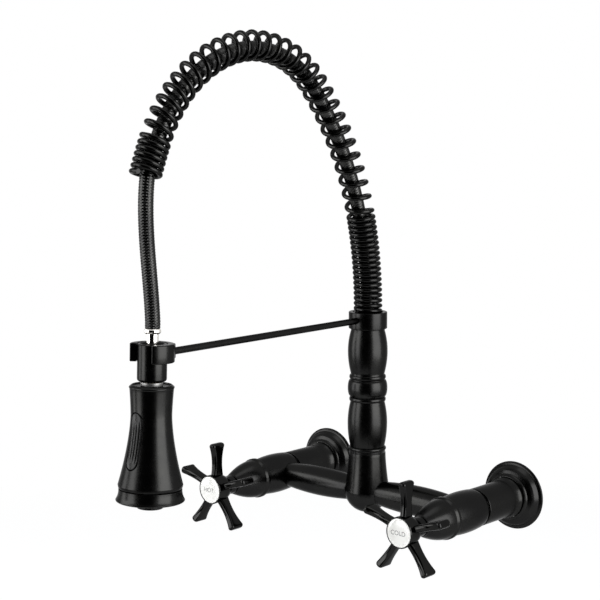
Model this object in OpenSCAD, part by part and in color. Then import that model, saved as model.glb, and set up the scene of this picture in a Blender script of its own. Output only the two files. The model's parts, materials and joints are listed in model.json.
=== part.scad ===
// Wall-mounted bridge faucet with a sprung spout and a docked pull-down spray head.
// Millimetres. X runs to the right as the user faces it, Y into the wall, Z up.
// The origin lies on the wall, midway between the two inlets.
// A valve is drawn along its own axis: its local Z is the distance out from the wall.

/* [Inlets] */
// Distance between the hot and cold inlets
inlet_centres = 203.2; // [190:0.4:260]
// Outside diameter of the inlet thread
inlet_thread_d = 20.955; // [18:0.1:22]
// Length of inlet thread behind the wall
inlet_thread_l = 14; // [8:0.5:30]
// Outside diameter of the wall flange
flange_d = 57.3; // [48:0.5:70]
// Depth of the wall flange
flange_h = 12; // [9:0.5:16]
// Wall of the flange's shell
flange_wall = 1.6; // [1:0.1:2.4]

/* [Union] */
// Outside diameter of the union nut's sleeve
sleeve_d = 31.2; // [30.4:0.2:35]
// Diameter of the sleeve where it meets the flange
sleeve_neck_d = 34; // [32:0.2:38]
// Distance from the wall to the seam between sleeve and valve
seam_reach = 57.5; // [54:0.5:60]
// Outside diameter of the tailpiece tube
tail_d = 20.2; // [17:0.1:21]
// Bore of the tailpiece
tail_bore = 13; // [8:0.5:14]
// Thickness of the union washer
washer_t = 2; // [1:0.5:3]
// Diameter of the union thread
union_thread_d = 26.4; // [25.6:0.2:27.6]

/* [Bridge] */
// Distance from the wall to the bridge tube and the riser's axis
bridge_reach = 71; // [70:0.5:76]
// Outside diameter of the bridge tube at the riser and at the valves
arm_d = 20.6; // [19:0.2:22]
// Outside diameter of the bridge tube midway to each valve
arm_mid_d = 25; // [22:0.2:27]
// Bore of the bridge tube
waterway_d = 13; // [8:0.5:15]
// Largest diameter of the valve body
valve_d = 34; // [31.8:0.2:38]
// Diameter of the valve body at the union
valve_end_d = 31.4; // [30:0.2:34]
// Diameter of the valve body at the bonnet
valve_neck_d = 29.8; // [28.6:0.2:34]
// Length of the valve body from seam to bonnet
valve_l = 41; // [38:0.5:44]
// Bore for the cartridge
cartridge_bore = 20; // [19:0.1:20.4]
// Diameter of the riser's foot
foot_d = 38; // [36:0.5:44]
// Height of the swivel seam above the inlets
seam_h = 34; // [30:0.5:38]
// Diameter of the foot at the swivel seam
foot_top_d = 31; // [29:0.5:34]
// Thickness of the swivel washer
swivel_t = 2; // [1:0.1:3]

/* [Bonnet] */
// Diameter of the bonnet's collar
bonnet_d = 34.4; // [32:0.2:36]
// Width of the bonnet's collar
bonnet_rim = 4.5; // [3.5:0.5:6]
// Length of the bonnet
bonnet_l = 33; // [30:0.5:38]
// Diameter of the bonnet's nose
nose_d = 17.2; // [16:0.2:20]

/* [Cartridge] */
// Diameter of the ceramic discs
disc_d = 16.2; // [15:0.1:16.6]
// Thickness of a ceramic disc
disc_t = 3; // [2.5:0.1:3.2]
// Diameter of the turning stem
stem_d = 8.8; // [7:0.1:9]
// Section of the rubber rings
ring_section = 1.56; // [1.2:0.02:1.7]

/* [Handle] */
// Number of spokes
spokes = 5; // [4:1:6]
// Distance from the valve's axis to the tip of a spoke
spoke_reach = 39; // [34:0.1:44]
// Thickness of a spoke, seen from the front
spoke_t = 5.6; // [4.5:0.1:6.4]
// Thickness of a spoke at its tip
spoke_tip_t = 6.6; // [5:0.1:8]
// Depth of a spoke at the hub
spoke_root = 12; // [9:0.1:14]
// Depth of a spoke at its waist
spoke_waist = 9.2; // [7:0.1:11]
// Depth of a spoke at its tip
spoke_tip = 15; // [12:0.1:16]
// Distance from the bonnet's nose to the front of the hub
hub_reach = 26.7; // [25:0.1:30]
// Diameter of the hub
hub_d = 24.8; // [22:0.2:28]
// Length of the hub
hub_l = 15; // [13:0.5:18]
// Diameter of the porcelain button
button_d = 22.9; // [16:0.1:24]
// Shank of the handle screw
screw_d = 4; // [3:0.1:5]

/* [Riser] */
// Largest diameter of the riser's two barrels
barrel_d = 33.4; // [31:0.2:38]
// Diameter of the narrow necks
neck_d = 28.8; // [27:0.2:30]
// Diameter of the narrow beads
bead_d = 30.8; // [29.5:0.2:33]
// Height of the bead at the riser's foot
foot_ring_h = 2.8; // [2:0.1:6]
// Height of the lower barrel
lower_barrel_h = 38.7; // [34:0.1:50]
// Height of the turned ball and its two beads
knot_h = 23; // [18:0.5:28]
// Height of the upper barrel
upper_barrel_h = 38; // [32:0.5:48]
// Bore of the riser
riser_bore = 16.2; // [12:0.2:17]
// Diameter of the swivel spigot
spigot_d = 21.9; // [20:0.1:22.4]
// Length of the swivel spigot
spigot_l = 21; // [18:0.5:22]

/* [Support arm] */
// Diameter of the arm's collar
collar_d = 32.3; // [30.6:0.1:36]
// Height of the arm's collar
collar_h = 14; // [12.5:0.5:18]
// Height of the rod above the collar's foot
rod_up = 7.5; // [7:0.1:8]
// Diameter of the rod
rod_d = 5.4; // [4:0.1:6]
// Distance from the riser's axis to the spray head's axis
arm_reach = 246.9; // [240:0.1:255]
// Lean of the spray head, its foot away from the wall
head_lean = 2; // [0:0.5:4]
// Outside diameter of the holder's ring
clip_d = 32.6; // [29:0.2:36]
// Height of the holder's ring
clip_h = 13.5; // [12:0.5:18]
// Width of the mouth of the ring, as an angle
clip_mouth = 90; // [70:2:100]

/* [Spring] */
// Length of the spring along its arch
arch_l = 437; // [425:1:470]
// Diameter of the spring's wire
wire_d = 3.7; // [2.6:0.1:3.8]
// Outside diameter of the spring
spring_d = 24.2; // [22:0.1:24.4]

/* [Hose] */
// Outside diameter of the hose
hose_d = 11.4; // [9:0.1:11.8]
// Bore of the hose
hose_bore = 6.6; // [5:0.1:7]
// How far the free hose bows out between the spring and its tail
hose_bow = 2.9; // [0:0.1:6]

/* [Spray head] */
// Diameter of the swivel nut
nut_d = 21.7; // [20.6:0.1:23]
// Length of the swivel nut
nut_l = 27.3; // [25:0.1:31]
// Thickness of the swivel nut's top
nut_cap = 9; // [8:0.1:10]
// Diameter of the hose's chrome tail
tailstock_d = 9.06; // [8:0.02:9.5]
// Diameter of the collar between the nut and the head
throat_d = 16.3; // [15.8:0.1:18]
// Diameter of the head just under its rim
head_top_d = 32.2; // [31:0.2:36]
// Diameter of the head at its waist
head_waist_d = 30.1; // [28.6:0.1:31]
// Diameter of the head at its bead
head_bead_d = 47.6; // [46:0.2:52]
// Diameter of the head at its mouth
head_mouth_d = 50.6; // [48:0.2:54]
// Length of the head
head_l = 85.4; // [84:0.1:96]
// Wall of the head's shell
head_wall = 2.4; // [1.8:0.1:2.6]
// Width of the rocker button
rocker_w = 11; // [8:0.1:12]
// Length of the rocker button
rocker_l = 41; // [32:0.5:44]
// Distance from the head's top down to the rocker's middle
rocker_drop = 39.7; // [39:0.1:44]
// Diameter of the stream outlet
outlet_d = 19.6; // [15:0.2:21]
// Number of spray nozzles
nozzles = 30; // [18:2:36]

/* [Clearances] */
// Radial gap of a turning or sliding fit
running_gap = 0.06; // [0.02:0.01:0.1]
// Radial gap of a screwed or seated fit
fit_gap = 0.05; // [0.02:0.01:0.1]
// Gap between a moving piece and what it passes
free_gap = 0.3; // [0.2:0.05:0.4]
// Gap round the rocker button
rocker_gap = 0.5; // [0.45:0.05:0.8]

/* [Hidden] */
$fn = 96;
HOT = -1;
COLD = 1;

// Colours
black = [0.07, 0.07, 0.065];
deep_black = [0.03, 0.03, 0.03];
brass = [0.72, 0.56, 0.28];
steel = [0.72, 0.72, 0.72];
rubber = [0.1, 0.1, 0.1];
porcelain = [0.95, 0.95, 0.93];
ceramic = [0.88, 0.88, 0.84];
plastic = [0.82, 0.8, 0.74];

// Places along a valve, as distances out from the wall
union_thread_l = 12;
seat_reach = bridge_reach - 9;
valve_end = seam_reach + valve_l;
chamber_end = valve_end + 10.5;
seal_t = 2;
disc_seat = seat_reach + seal_t;
disc_top = disc_seat + 2 * disc_t + 0.02;
gland_t = 3;
bonnet_thread_d = cartridge_bore + 6.4;
nose_end = valve_end + bonnet_l;
hub_front = nose_end + hub_reach;
hub_back = hub_front - hub_l;
stem_end = hub_front - 12;
spoke_centre = hub_back + 5.7;
broach_d = stem_d - 1;

// Heights on the riser, above the inlets
riser_foot = seam_h + swivel_t;
lower_barrel = riser_foot + foot_ring_h;
knot = lower_barrel + lower_barrel_h;
upper_barrel = knot + knot_h;
collar_foot = upper_barrel + upper_barrel_h + 1;
rod_h = collar_foot + rod_up;
spring_seat = collar_foot + 10.4;
riser_top = spring_seat - 4;
riser_thread_d = 22;
spigot_foot = riser_foot - spigot_l;
ring_seats = [3.4, 8.4];
screw_groove = spigot_foot + 14.5;

// Heights on the spray head's axis, above the rod
nut_top = 8;
nut_foot = nut_top - nut_l;
throat_foot = nut_foot - 3.5;
head_top = throat_foot + 1.1;
head_neck = head_top - 2.8;
head_waist = head_top - 22.3;
head_foot = head_top - head_l;
head_mouth = head_foot + 1.1;
head_bead = head_mouth + 11.1;
shell_foot = head_bead - 3;
plate_foot = throat_foot - 3.7;
core_top = plate_foot - 0.1;
core_flange = shell_foot + 5;
rocker_z = head_top - rocker_drop;
rocker_pin_d = 1.6;
spool_d = 6;
spool_l = 24;
peg_d = 2.2;
head_reach = bridge_reach + arm_reach;

// Course of the spring: rows of its share of the arch in percent and its bend in degrees, from straight
// up over to the front
course = [[18.3, 15], [11.4, 12], [16.3, 15], [12.1, 34], [11.9, 29], [8, 17], [16, 34], [6, 4]]
    * [[arch_l / 100, 0], [0, 1]];
// Curls of the spring: rows of the share of the arch in percent and the number of curls
curl_rows = [[18.5, 18.5], [27.7, 10], [36.6, 14], [11.2, 5], [6, 6]] * [[arch_l / 100, 0], [0, 1]];
course_start = spring_seat + wire_d + 2.2;
rings_per_curl = 8;
wire_sides = 6;
hose_sides = 10;

// ---------------------------------------------------------------- functions
// Radius of a barrel with a swelling middle, t from 0 at one end to 1 at the other
function barrel_r(t, end_r, mid_r, peak) =
    let (u = t < peak ? t / peak : (1 - t) / (1 - peak))
    end_r + (mid_r - end_r) * (1 - pow(1 - u, 2));
// A barrel's outline; far_r is the radius of its second end, where that differs from the first
function barrel_points(z0, z1, end_r, mid_r, peak, steps = 8, far_r = 0) =
    [for (i = [0:steps]) let (t = i / steps)
        [barrel_r(t, t > peak && far_r > 0 ? far_r : end_r, mid_r, peak), z0 + (z1 - z0) * t]];
function bead_points(z0, z1, root_r, bead_r, steps = 6) =
    [for (i = [0:steps])
        [root_r + (bead_r - root_r) * sin(180 * i / steps), z0 + (z1 - z0) * (1 - cos(180 * i / steps)) / 2]];
// Radius of the spray head at a height above the rod
function head_r(w) =
    w > head_waist
        ? head_waist_d / 2
            + (head_top_d - head_waist_d) / 2 * pow((w - head_waist) / (head_neck - head_waist), 1.5)
        : head_waist_d / 2
            + (head_bead_d - head_waist_d) / 2 * pow((head_waist - w) / (head_waist - head_bead), 1.6);
function head_points(w0, w1, inset, steps) =
    [for (i = [0:steps]) let (w = w0 + (w1 - w0) * i / steps) [head_r(w) - inset, w]];
rocker_pin_r = head_r(rocker_z) - head_wall - 0.7;

// A point of the course at a length along it: [Y, Z, heading]
function on_arc(s, y, z, a, row) =
    let (turn = row[1] * s / row[0], r = row[0] / (row[1] * PI / 180))
    [y - r * (cos(a) - cos(a + turn)), z + r * (sin(a + turn) - sin(a)), a + turn];
function course_at(s, i = 0, y = 0, z = 0, a = 0) =
    i == len(course) - 1 || s <= course[i][0]
        ? on_arc(s, y, z, a, course[i])
        : let (e = on_arc(course[i][0], y, z, a, course[i]))
            course_at(s - course[i][0], i + 1, e[0], e[1], e[2]);
function total(rows, column, i = 0) = i == len(rows) ? 0 : rows[i][column] + total(rows, column, i + 1);
course_l = total(course, 0);
curls = total(curl_rows, 1);
// Length along the course at which a curl begins
function curl_s(n, i = 0) =
    i == len(curl_rows) - 1 || n <= curl_rows[i][1]
        ? curl_rows[i][0] * n / curl_rows[i][1]
        : curl_rows[i][0] + curl_s(n - curl_rows[i][1], i + 1);
// A point at an angle and radius round the course; angle 0 is the outer side of the arch
function round_course(s, angle, radius) =
    let (p = course_at(s))
    [radius * sin(angle),
        p[0] - bridge_reach + radius * cos(angle) * cos(p[2]),
        p[1] + course_start + radius * cos(angle) * sin(p[2])];
spring_r = (spring_d - wire_d) / 2;
curl_steps = floor(curls * rings_per_curl);
foot_angle = 180;
curl_line = [for (k = [0:curl_steps]) let (n = k / rings_per_curl)
    round_course(curl_s(n), foot_angle + 360 * n, spring_r)];
// The wire's foot turns straight down onto the seat, and its tip runs straight on, one diameter each
foot_line = [for (z = [spring_seat, spring_seat + wire_d]) [2.4, -spring_r - bridge_reach, z]];
tip_dir = unit(curl_line[curl_steps] - curl_line[curl_steps - 1]);
spring_line = concat(foot_line, curl_line, [curl_line[curl_steps] + tip_dir * wire_d]);

function unit(v) = v / norm(v);
function dir_at(line, k) =
    k == 0 ? unit(line[1] - line[0])
        : k == len(line) - 1 ? unit(line[k] - line[k - 1])
        : unit(unit(line[k + 1] - line[k]) + unit(line[k] - line[k - 1]));
// A ring of points round a line, turned so that its first point faces away from a centre line
function ring_at(point, dir, out, radius, sides) =
    let (a = unit(out - dir * (out * dir)), b = cross(dir, a))
    [for (i = [0:sides - 1]) point + radius * (cos(360 * i / sides) * a + sin(360 * i / sides) * b)];
function side_faces(rows, sides, base = 0, flip = false) =
    [for (k = [0:rows - 2], i = [0:sides - 1], half = [0, 1])
        let (j = (i + 1) % sides, p = base + k * sides, q = p + sides,
            f = half == 0 ? [p + i, q + i, q + j] : [p + i, q + j, p + j])
        flip ? [f[2], f[1], f[0]] : f];
// Least distance between the wire's points that lie about one curl apart
function least_gap(line) =
    min([for (k = [2:len(line) - rings_per_curl - 3], n = [rings_per_curl - 1:rings_per_curl + 1])
        norm(line[k + n] - line[k])]) - wire_d;
echo(spring_least_gap = least_gap(spring_line), spring_curls = curls, spring_course = course_l);

// ---------------------------------------------------------------- placing
module on_valve(side) {
    translate([side * inlet_centres / 2, 0, 0]) rotate([90, 0, 0]) children();
}
module on_riser() {
    translate([0, -bridge_reach, 0]) children();
}
module on_head() {
    translate([0, -head_reach, rod_h]) rotate([-head_lean, 0, 0]) children();
}
module ring(r_in, r_out, z0, z1) {
    difference() {
        translate([0, 0, z0]) cylinder(r = r_out, h = z1 - z0);
        translate([0, 0, z0 - 1]) cylinder(r = r_in, h = z1 - z0 + 2);
    }
}
module hole(r, z0, z1) {
    translate([0, 0, z0]) cylinder(r = r, h = z1 - z0);
}
module o_ring(centre_r, z, section) {
    translate([0, 0, z]) rotate_extrude() translate([centre_r, 0]) circle(d = section, $fn = 32);
}
// A solid swept round a line of points, closed at both ends
module swept(line, outs, radius, sides) {
    rows = len(line);
    points = [for (k = [0:rows - 1]) each ring_at(line[k], dir_at(line, k), outs[k], radius, sides)];
    cap_a = [for (i = [1:sides - 2]) [0, i, i + 1]];
    last = (rows - 1) * sides;
    cap_b = [for (i = [1:sides - 2]) [last, last + i + 1, last + i]];
    polyhedron(points, concat(side_faces(rows, sides), cap_a, cap_b), convexity = 20);
}
// A tube with a bore, swept along the points first to last of a line in the plane X = 0
module swept_tube(line, first, last, radius, bore_r, sides) {
    rows = last - first + 1;
    outer = [for (k = [first:last]) each ring_at(line[k], dir_at(line, k), [1, 0, 0], radius, sides)];
    inner = [for (k = [first:last]) each ring_at(line[k], dir_at(line, k), [1, 0, 0], bore_r, sides)];
    bore = rows * sides;
    end = bore - sides;
    near_rim = [for (i = [0:sides - 1], half = [0, 1]) let (j = (i + 1) % sides)
        half == 0 ? [i, j, bore + j] : [i, bore + j, bore + i]];
    far_rim = [for (i = [end:bore - 1], half = [0, 1]) let (j = end + (i + 1 - end) % sides)
        half == 0 ? [j, i, bore + i] : [j, bore + i, bore + j]];
    polyhedron(concat(outer, inner),
        concat(side_faces(rows, sides), side_faces(rows, sides, bore, true), near_rim, far_rim),
        convexity = 20);
}

// ---------------------------------------------------------------- bridge
module valve_body_outside() {
    rotate_extrude() polygon(concat(
        [[0, seam_reach - union_thread_l], [union_thread_d / 2, seam_reach - union_thread_l],
            [union_thread_d / 2, seam_reach], [valve_end_d / 2 - 0.8, seam_reach]],
        barrel_points(seam_reach + 0.8, valve_end, valve_end_d / 2, valve_d / 2, 0.45, 10, valve_neck_d / 2),
        [[bonnet_thread_d / 2, valve_end], [bonnet_thread_d / 2, chamber_end], [0, chamber_end]]));
}
module valve_body_inside() {
    hole(waterway_d / 2, seam_reach - union_thread_l - 1, seat_reach + 1);
    hole(cartridge_bore / 2, seat_reach, chamber_end + 1);
}
module foot_outside() {
    r = foot_d / 2;
    rotate_extrude() polygon(concat(
        [for (i = [0:8]) [r * sin(90 * i / 8), -r * cos(90 * i / 8) + 1]],
        [for (i = [1:6]) let (t = i / 6)
            [foot_top_d / 2 + (r - foot_top_d / 2) * pow(1 - t, 1.5), 1 + (seam_h - 1) * t]],
        [[0, seam_h]]));
}
module bridge_tube() {
    half = inlet_centres / 2;
    r = arm_d / 2;
    near = foot_d / 2 - 2;
    far = half - valve_d / 2 + 1.5;
    rotate_extrude() polygon(concat(
        [[0, -half], [r, -half]],
        barrel_points(-far, -near, r, arm_mid_d / 2, 0.5),
        barrel_points(near, far, r, arm_mid_d / 2, 0.5),
        [[r, half], [0, half]]));
}
module bridge_body() {
    color(black) difference() {
        union() {
            on_riser() foot_outside();
            translate([0, -bridge_reach, 0]) rotate([0, 90, 0]) bridge_tube();
            for (side = [HOT, COLD]) on_valve(side) valve_body_outside();
        }
        for (side = [HOT, COLD]) on_valve(side) valve_body_inside();
        translate([-inlet_centres / 2, -bridge_reach, 0]) rotate([0, 90, 0])
            cylinder(d = waterway_d, h = inlet_centres);
        on_riser() hole(spigot_d / 2 + running_gap, spigot_foot - 1, seam_h + 1);
        on_riser() hole(waterway_d / 2, 0, spigot_foot);
        on_riser() translate([0, 0, screw_groove]) rotate([-90, 0, 0])
            cylinder(r = 2.5, h = foot_d);
    }
}

// ---------------------------------------------------------------- one valve, from the wall outwards
module wall_flange(side) {
    lip_r = sleeve_neck_d / 2 + fit_gap;
    rim = flange_d / 2;
    step = (rim - lip_r) / 11.4;
    rise = flange_h / 12;
    outer = [[rim, 0], [rim, 1.6 * rise], [rim - 1.2 * step, 2.6 * rise], [rim - 2.6 * step, 2.8 * rise],
        [rim - 3 * step, 3.8 * rise], [rim - 4 * step, 6.2 * rise], [rim - 5.6 * step, 8.1 * rise],
        [rim - 7.6 * step, 9.4 * rise], [rim - 8.2 * step, 9.6 * rise], [rim - 8.6 * step, 10.6 * rise],
        [rim - 9.6 * step, 11.6 * rise], [rim - 10.6 * step, flange_h], [lip_r, flange_h]];
    inner = [for (i = [len(outer) - 1:-1:2])
        [max(lip_r, outer[i][0] - flange_wall * 0.7), outer[i][1] - flange_wall]];
    color(black) on_valve(side) rotate_extrude() polygon(concat(outer, inner, [[rim - flange_wall, 0]]));
}
tail_collar_t = 3;
tail_collar = seam_reach - union_thread_l - washer_t - tail_collar_t;
module tailpiece(side) {
    color(brass) on_valve(side) difference() {
        union() {
            translate([0, 0, -inlet_thread_l]) cylinder(d = inlet_thread_d, h = inlet_thread_l);
            cylinder(d = tail_d, h = tail_collar + tail_collar_t);
            translate([0, 0, tail_collar]) cylinder(d = union_thread_d - 1, h = tail_collar_t);
        }
        hole(tail_bore / 2, -inlet_thread_l - 1, seam_reach);
    }
}
module union_nut(side) {
    skirt = flange_h - 2.5;
    shoulder = tail_collar - fit_gap;
    outer_r = sleeve_d / 2;
    neck_r = sleeve_neck_d / 2;
    cove = [for (i = [0:6]) let (t = i / 6)
        [outer_r + (neck_r - outer_r) * pow(1 - t, 2), flange_h + 2 + 7 * t]];
    color(black) on_valve(side) rotate_extrude() polygon(concat(
        [[neck_r - 2, skirt], [neck_r - 0.5, skirt], [neck_r, skirt + 0.5]],
        cove,
        [[outer_r, seam_reach - 1.2], [outer_r - 0.8, seam_reach - 0.1],
            [union_thread_d / 2 + fit_gap, seam_reach - 0.1], [union_thread_d / 2 + fit_gap, shoulder],
            [tail_d / 2 + fit_gap, shoulder], [tail_d / 2 + fit_gap, shoulder - 4],
            [outer_r - 2, shoulder - 7], [outer_r - 2, flange_h + 9], [neck_r - 2, flange_h + 2]]));
}
module union_washer(side) {
    color(rubber) on_valve(side)
        ring(tail_bore / 2 + 1, union_thread_d / 2 - 0.6, tail_collar + tail_collar_t,
            seam_reach - union_thread_l);
}
module seat_seal(side) {
    color(rubber) on_valve(side) ring(waterway_d / 2, disc_d / 2 - 0.4, seat_reach, disc_seat);
}
// A ceramic disc with two open quarters
module disc_outline(turn) {
    difference() {
        circle(d = disc_d);
        for (half = [0, 180]) rotate(turn + half) intersection() {
            difference() {
                circle(d = disc_d - 3.2);
                circle(d = 4.4);
            }
            polygon([[0, 0], [disc_d, -disc_d * 0.8], [disc_d, disc_d * 0.8]]);
        }
    }
}
module fixed_disc(side) {
    color(ceramic) on_valve(side) translate([0, 0, disc_seat]) linear_extrude(disc_t) disc_outline(0);
}
module turning_disc(side) {
    color(ceramic) on_valve(side) translate([0, 0, disc_seat + disc_t + 0.02])
        linear_extrude(disc_t - 0.02) disc_outline(90);
}
stem_head_t = 3;
ring_seat = chamber_end - 14;
module cartridge(side) {
    body_r = cartridge_bore / 2 - fit_gap;
    disc_hole = disc_d / 2 + running_gap;
    stem_hole = stem_d / 2 + running_gap;
    window = waterway_d - 2;
    color(brass) on_valve(side) difference() {
        union() {
            hole(body_r, seat_reach, chamber_end);
            hole(bonnet_thread_d / 2 - 1, chamber_end, chamber_end + gland_t);
            hole(stem_d / 2 + 3, chamber_end + gland_t, chamber_end + gland_t + 9);
        }
        hole(disc_hole, seat_reach - 1, disc_top + stem_head_t + 0.1);
        hole(stem_hole, seat_reach, nose_end);
        difference() {
            hole(body_r + 1, ring_seat, ring_seat + ring_section + 0.4);
            hole(body_r - ring_section - 0.04, 0, nose_end);
        }
        translate([-body_r - 1, -window / 2, disc_seat + disc_t * 1.2])
            cube([2 * body_r + 2, window, disc_t * 1.4]);
    }
}
module cartridge_ring(side) {
    color(rubber) on_valve(side)
        o_ring(cartridge_bore / 2 - fit_gap - ring_section / 2, ring_seat + ring_section / 2 + 0.2,
            ring_section);
}
module stem(side) {
    color(brass) on_valve(side) difference() {
        union() {
            hole(disc_d / 2, disc_top, disc_top + stem_head_t);
            hole(stem_d / 2, disc_top, nose_end + 1);
            translate([0, 0, nose_end]) cylinder(d = broach_d, h = stem_end - nose_end, $fn = 8);
        }
        hole(screw_d / 2, stem_end - 9, stem_end + 1);
    }
}
module bonnet(side) {
    r = bonnet_d / 2;
    thread_r = bonnet_thread_d / 2 + fit_gap;
    shoulder = chamber_end + gland_t + fit_gap;
    stretch = (bonnet_l - bonnet_rim - 1) / 29.5;
    nose_r = nose_d / 2;
    dome = [for (i = [0:8]) let (t = i / 8)
        [nose_r + (r - 1 - nose_r) * pow(cos(90 * t), 0.9) * (1 - 0.12 * t),
            valve_end + bonnet_rim + 1 + 28 * stretch * t]];
    color(black) on_valve(side) rotate_extrude() polygon(concat(
        [[thread_r, valve_end + 0.05], [r - 0.9, valve_end + 0.05], [r, valve_end + 1],
            [r, valve_end + bonnet_rim - 1], [r - 0.6, valve_end + bonnet_rim]],
        dome,
        [[nose_r, nose_end - 0.6], [nose_r - 0.6, nose_end], [stem_d / 2 + 1, nose_end],
            [stem_d / 2 + 1, nose_end - 6], [stem_d / 2 + 3.3, nose_end - 10],
            [stem_d / 2 + 3.3, shoulder], [thread_r, shoulder]]));
}

// ---------------------------------------------------------------- handle
function spoke_depth(x, root_x, tip_x) =
    let (waist_x = spoke_reach * 0.58, end = x < waist_x ? spoke_root : spoke_tip,
        u = (x - waist_x) / ((x < waist_x ? root_x : tip_x) - waist_x))
    spoke_waist + (end - spoke_waist) * u * u;
module spoke() {
    steps = 12;
    root_x = hub_d / 2 - 3.4;
    tip_x = spoke_reach - 0.8;
    waist_x = spoke_reach * 0.5;
    t = spoke_t / 2;
    tip_t = spoke_tip_t / 2;
    rows = [for (i = [0:steps]) let (x = root_x + (tip_x - root_x) * i / steps)
        [x, spoke_depth(x, root_x, tip_x) / 2]];
    side_view = concat(
        [for (p = rows) [p[0], -p[1]]],
        [[spoke_reach - 0.1, 0.8 - spoke_tip / 2], [spoke_reach, 0],
            [spoke_reach - 0.1, spoke_tip / 2 - 0.8]],
        [for (i = [steps:-1:0]) rows[i]]);
    intersection() {
        rotate([90, 0, 0]) translate([0, spoke_centre, -tip_t])
            linear_extrude(spoke_tip_t) polygon(side_view);
        translate([0, 0, spoke_centre - spoke_tip]) linear_extrude(2 * spoke_tip)
            polygon([[0, -t], [waist_x, -t], [spoke_reach + 1, -tip_t],
                [spoke_reach + 1, tip_t], [waist_x, t], [0, t]]);
    }
}
button_seat = hub_front - 3.4;
module handle(side) {
    r = hub_d / 2;
    skirt_r = nose_d / 2 - 0.6;
    button_r = button_d / 2 + fit_gap;
    color(deep_black) on_valve(side) difference() {
        union() {
            rotate_extrude() polygon(concat(
                [[0, nose_end + 0.5], [skirt_r, nose_end + 0.5], [skirt_r, hub_back - 5]],
                [for (i = [0:6])
                    [skirt_r + 0.6 + (r - skirt_r - 0.6) * sin(15 * i), hub_back - 4 + 11 * i / 6]],
                [[r, hub_front - 0.8], [r - 0.5, hub_front], [0, hub_front]]));
            for (i = [0:spokes - 1]) rotate(90 + 360 * i / spokes) spoke();
        }
        hole(button_r, button_seat, hub_front + 1);
        hole(screw_d + 0.5, hub_front - 8, hub_front);
        hole(screw_d / 2 + 0.3, stem_end - 1, hub_front);
        hole(stem_d / 2 + free_gap, nose_end, nose_end + 1.5);
        translate([0, 0, nose_end + 0.4])
            cylinder(d = broach_d + 0.14, h = stem_end - nose_end - 0.3, $fn = 8);
    }
}
module handle_screw(side) {
    head_z = hub_front - 8;
    color(steel) on_valve(side) difference() {
        union() {
            hole(screw_d / 2 - 0.04, stem_end - 8, head_z + 1);
            hole(screw_d + 0.3, head_z, head_z + 3);
        }
        translate([0, 0, head_z + 1.2]) cylinder(d = screw_d, h = 3, $fn = 6);
    }
}
module button(side) {
    r = button_d / 2;
    color(porcelain) on_valve(side) rotate_extrude() polygon(concat(
        [[0, button_seat + 0.05], [r, button_seat + 0.05], [r, hub_front - 0.2]],
        [for (i = [1:6]) [r * cos(90 * i / 6), hub_front - 0.2 + 1.5 * sin(90 * i / 6)]]));
}

// ---------------------------------------------------------------- riser
module swivel_washer() {
    color(deep_black) on_riser()
        ring(spigot_d / 2 + free_gap, foot_top_d / 2 - 0.3, seam_h, riser_foot - 0.04);
}
module spout_screw() {
    color(steel) on_riser() translate([0, 0, screw_groove]) rotate([-90, 0, 0]) difference() {
        union() {
            hole(1.2, spigot_d / 2 - 0.8, spigot_d / 2 + 1);
            hole(2.45, spigot_d / 2 + 0.5, foot_top_d / 2);
        }
        translate([0, 0, foot_top_d / 2 - 2]) cylinder(d = 2.8, h = 3, $fn = 6);
    }
}
module riser() {
    n = neck_d / 2;
    b = bead_d / 2;
    m = barrel_d / 2;
    ball0 = knot + knot_h * 0.2;
    ball1 = knot + knot_h * 0.8;
    color(black) on_riser() difference() {
        rotate_extrude() polygon(concat(
            [[0, spigot_foot], [spigot_d / 2 - 0.6, spigot_foot], [spigot_d / 2, spigot_foot + 0.6],
                [spigot_d / 2, riser_foot]],
            bead_points(riser_foot, lower_barrel, foot_top_d / 2 - 0.6, foot_top_d / 2 + 0.4),
            barrel_points(lower_barrel, knot, n, m, 0.52, 10),
            bead_points(knot + 0.2, ball0 - 0.8, n, b),
            bead_points(ball0, ball1, n + 0.4, m),
            bead_points(ball1 + 0.8, upper_barrel - 0.2, n, b),
            barrel_points(upper_barrel + 0.6, collar_foot - 1.6, n - 0.2, m, 0.52, 10),
            [[n, collar_foot - 0.05], [riser_thread_d / 2, collar_foot - 0.05],
                [riser_thread_d / 2, riser_top], [0, riser_top]]));
        hole(riser_bore / 2, spigot_foot - 1, riser_top + 1);
        for (z = ring_seats) difference() {
            hole(spigot_d / 2 + 1, spigot_foot + z - ring_section / 2 - 0.2,
                spigot_foot + z + ring_section / 2 + 0.2);
            hole(spigot_d / 2 - ring_section, 0, seam_h);
        }
        difference() {
            hole(spigot_d / 2 + 1, screw_groove - 1.6, screw_groove + 1.6);
            hole(spigot_d / 2 - 1.3, 0, seam_h);
        }
    }
}
module spigot_rings() {
    color(rubber) on_riser()
        for (z = ring_seats)
            o_ring(spigot_d / 2 - ring_section / 2 + 0.01, spigot_foot + z, ring_section - 0.02);
}
socket_r = spring_d / 2 + 0.4;
rod_root = bridge_reach + socket_r + 0.6;
clip_bore_r = nut_d / 2 + free_gap;
rod_tip = head_reach - clip_bore_r - 1.6;
module arm_collar() {
    r = collar_d / 2;
    color(black) difference() {
        on_riser() rotate_extrude() polygon([
            [riser_thread_d / 2 + fit_gap, collar_foot], [r - 0.6, collar_foot], [r, collar_foot + 0.6],
            [r, collar_foot + collar_h - 0.6], [r - 0.6, collar_foot + collar_h],
            [socket_r, collar_foot + collar_h], [socket_r, spring_seat],
            [riser_thread_d / 2 + fit_gap, spring_seat]]);
        translate([0, -rod_root, rod_h]) rotate([90, 0, 0]) cylinder(d = rod_d + 2 * fit_gap, h = collar_d);
        on_riser() translate([0, 0, collar_foot + 4]) rotate([-90, 0, 0]) cylinder(r = 1.55, h = collar_d);
    }
}
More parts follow.
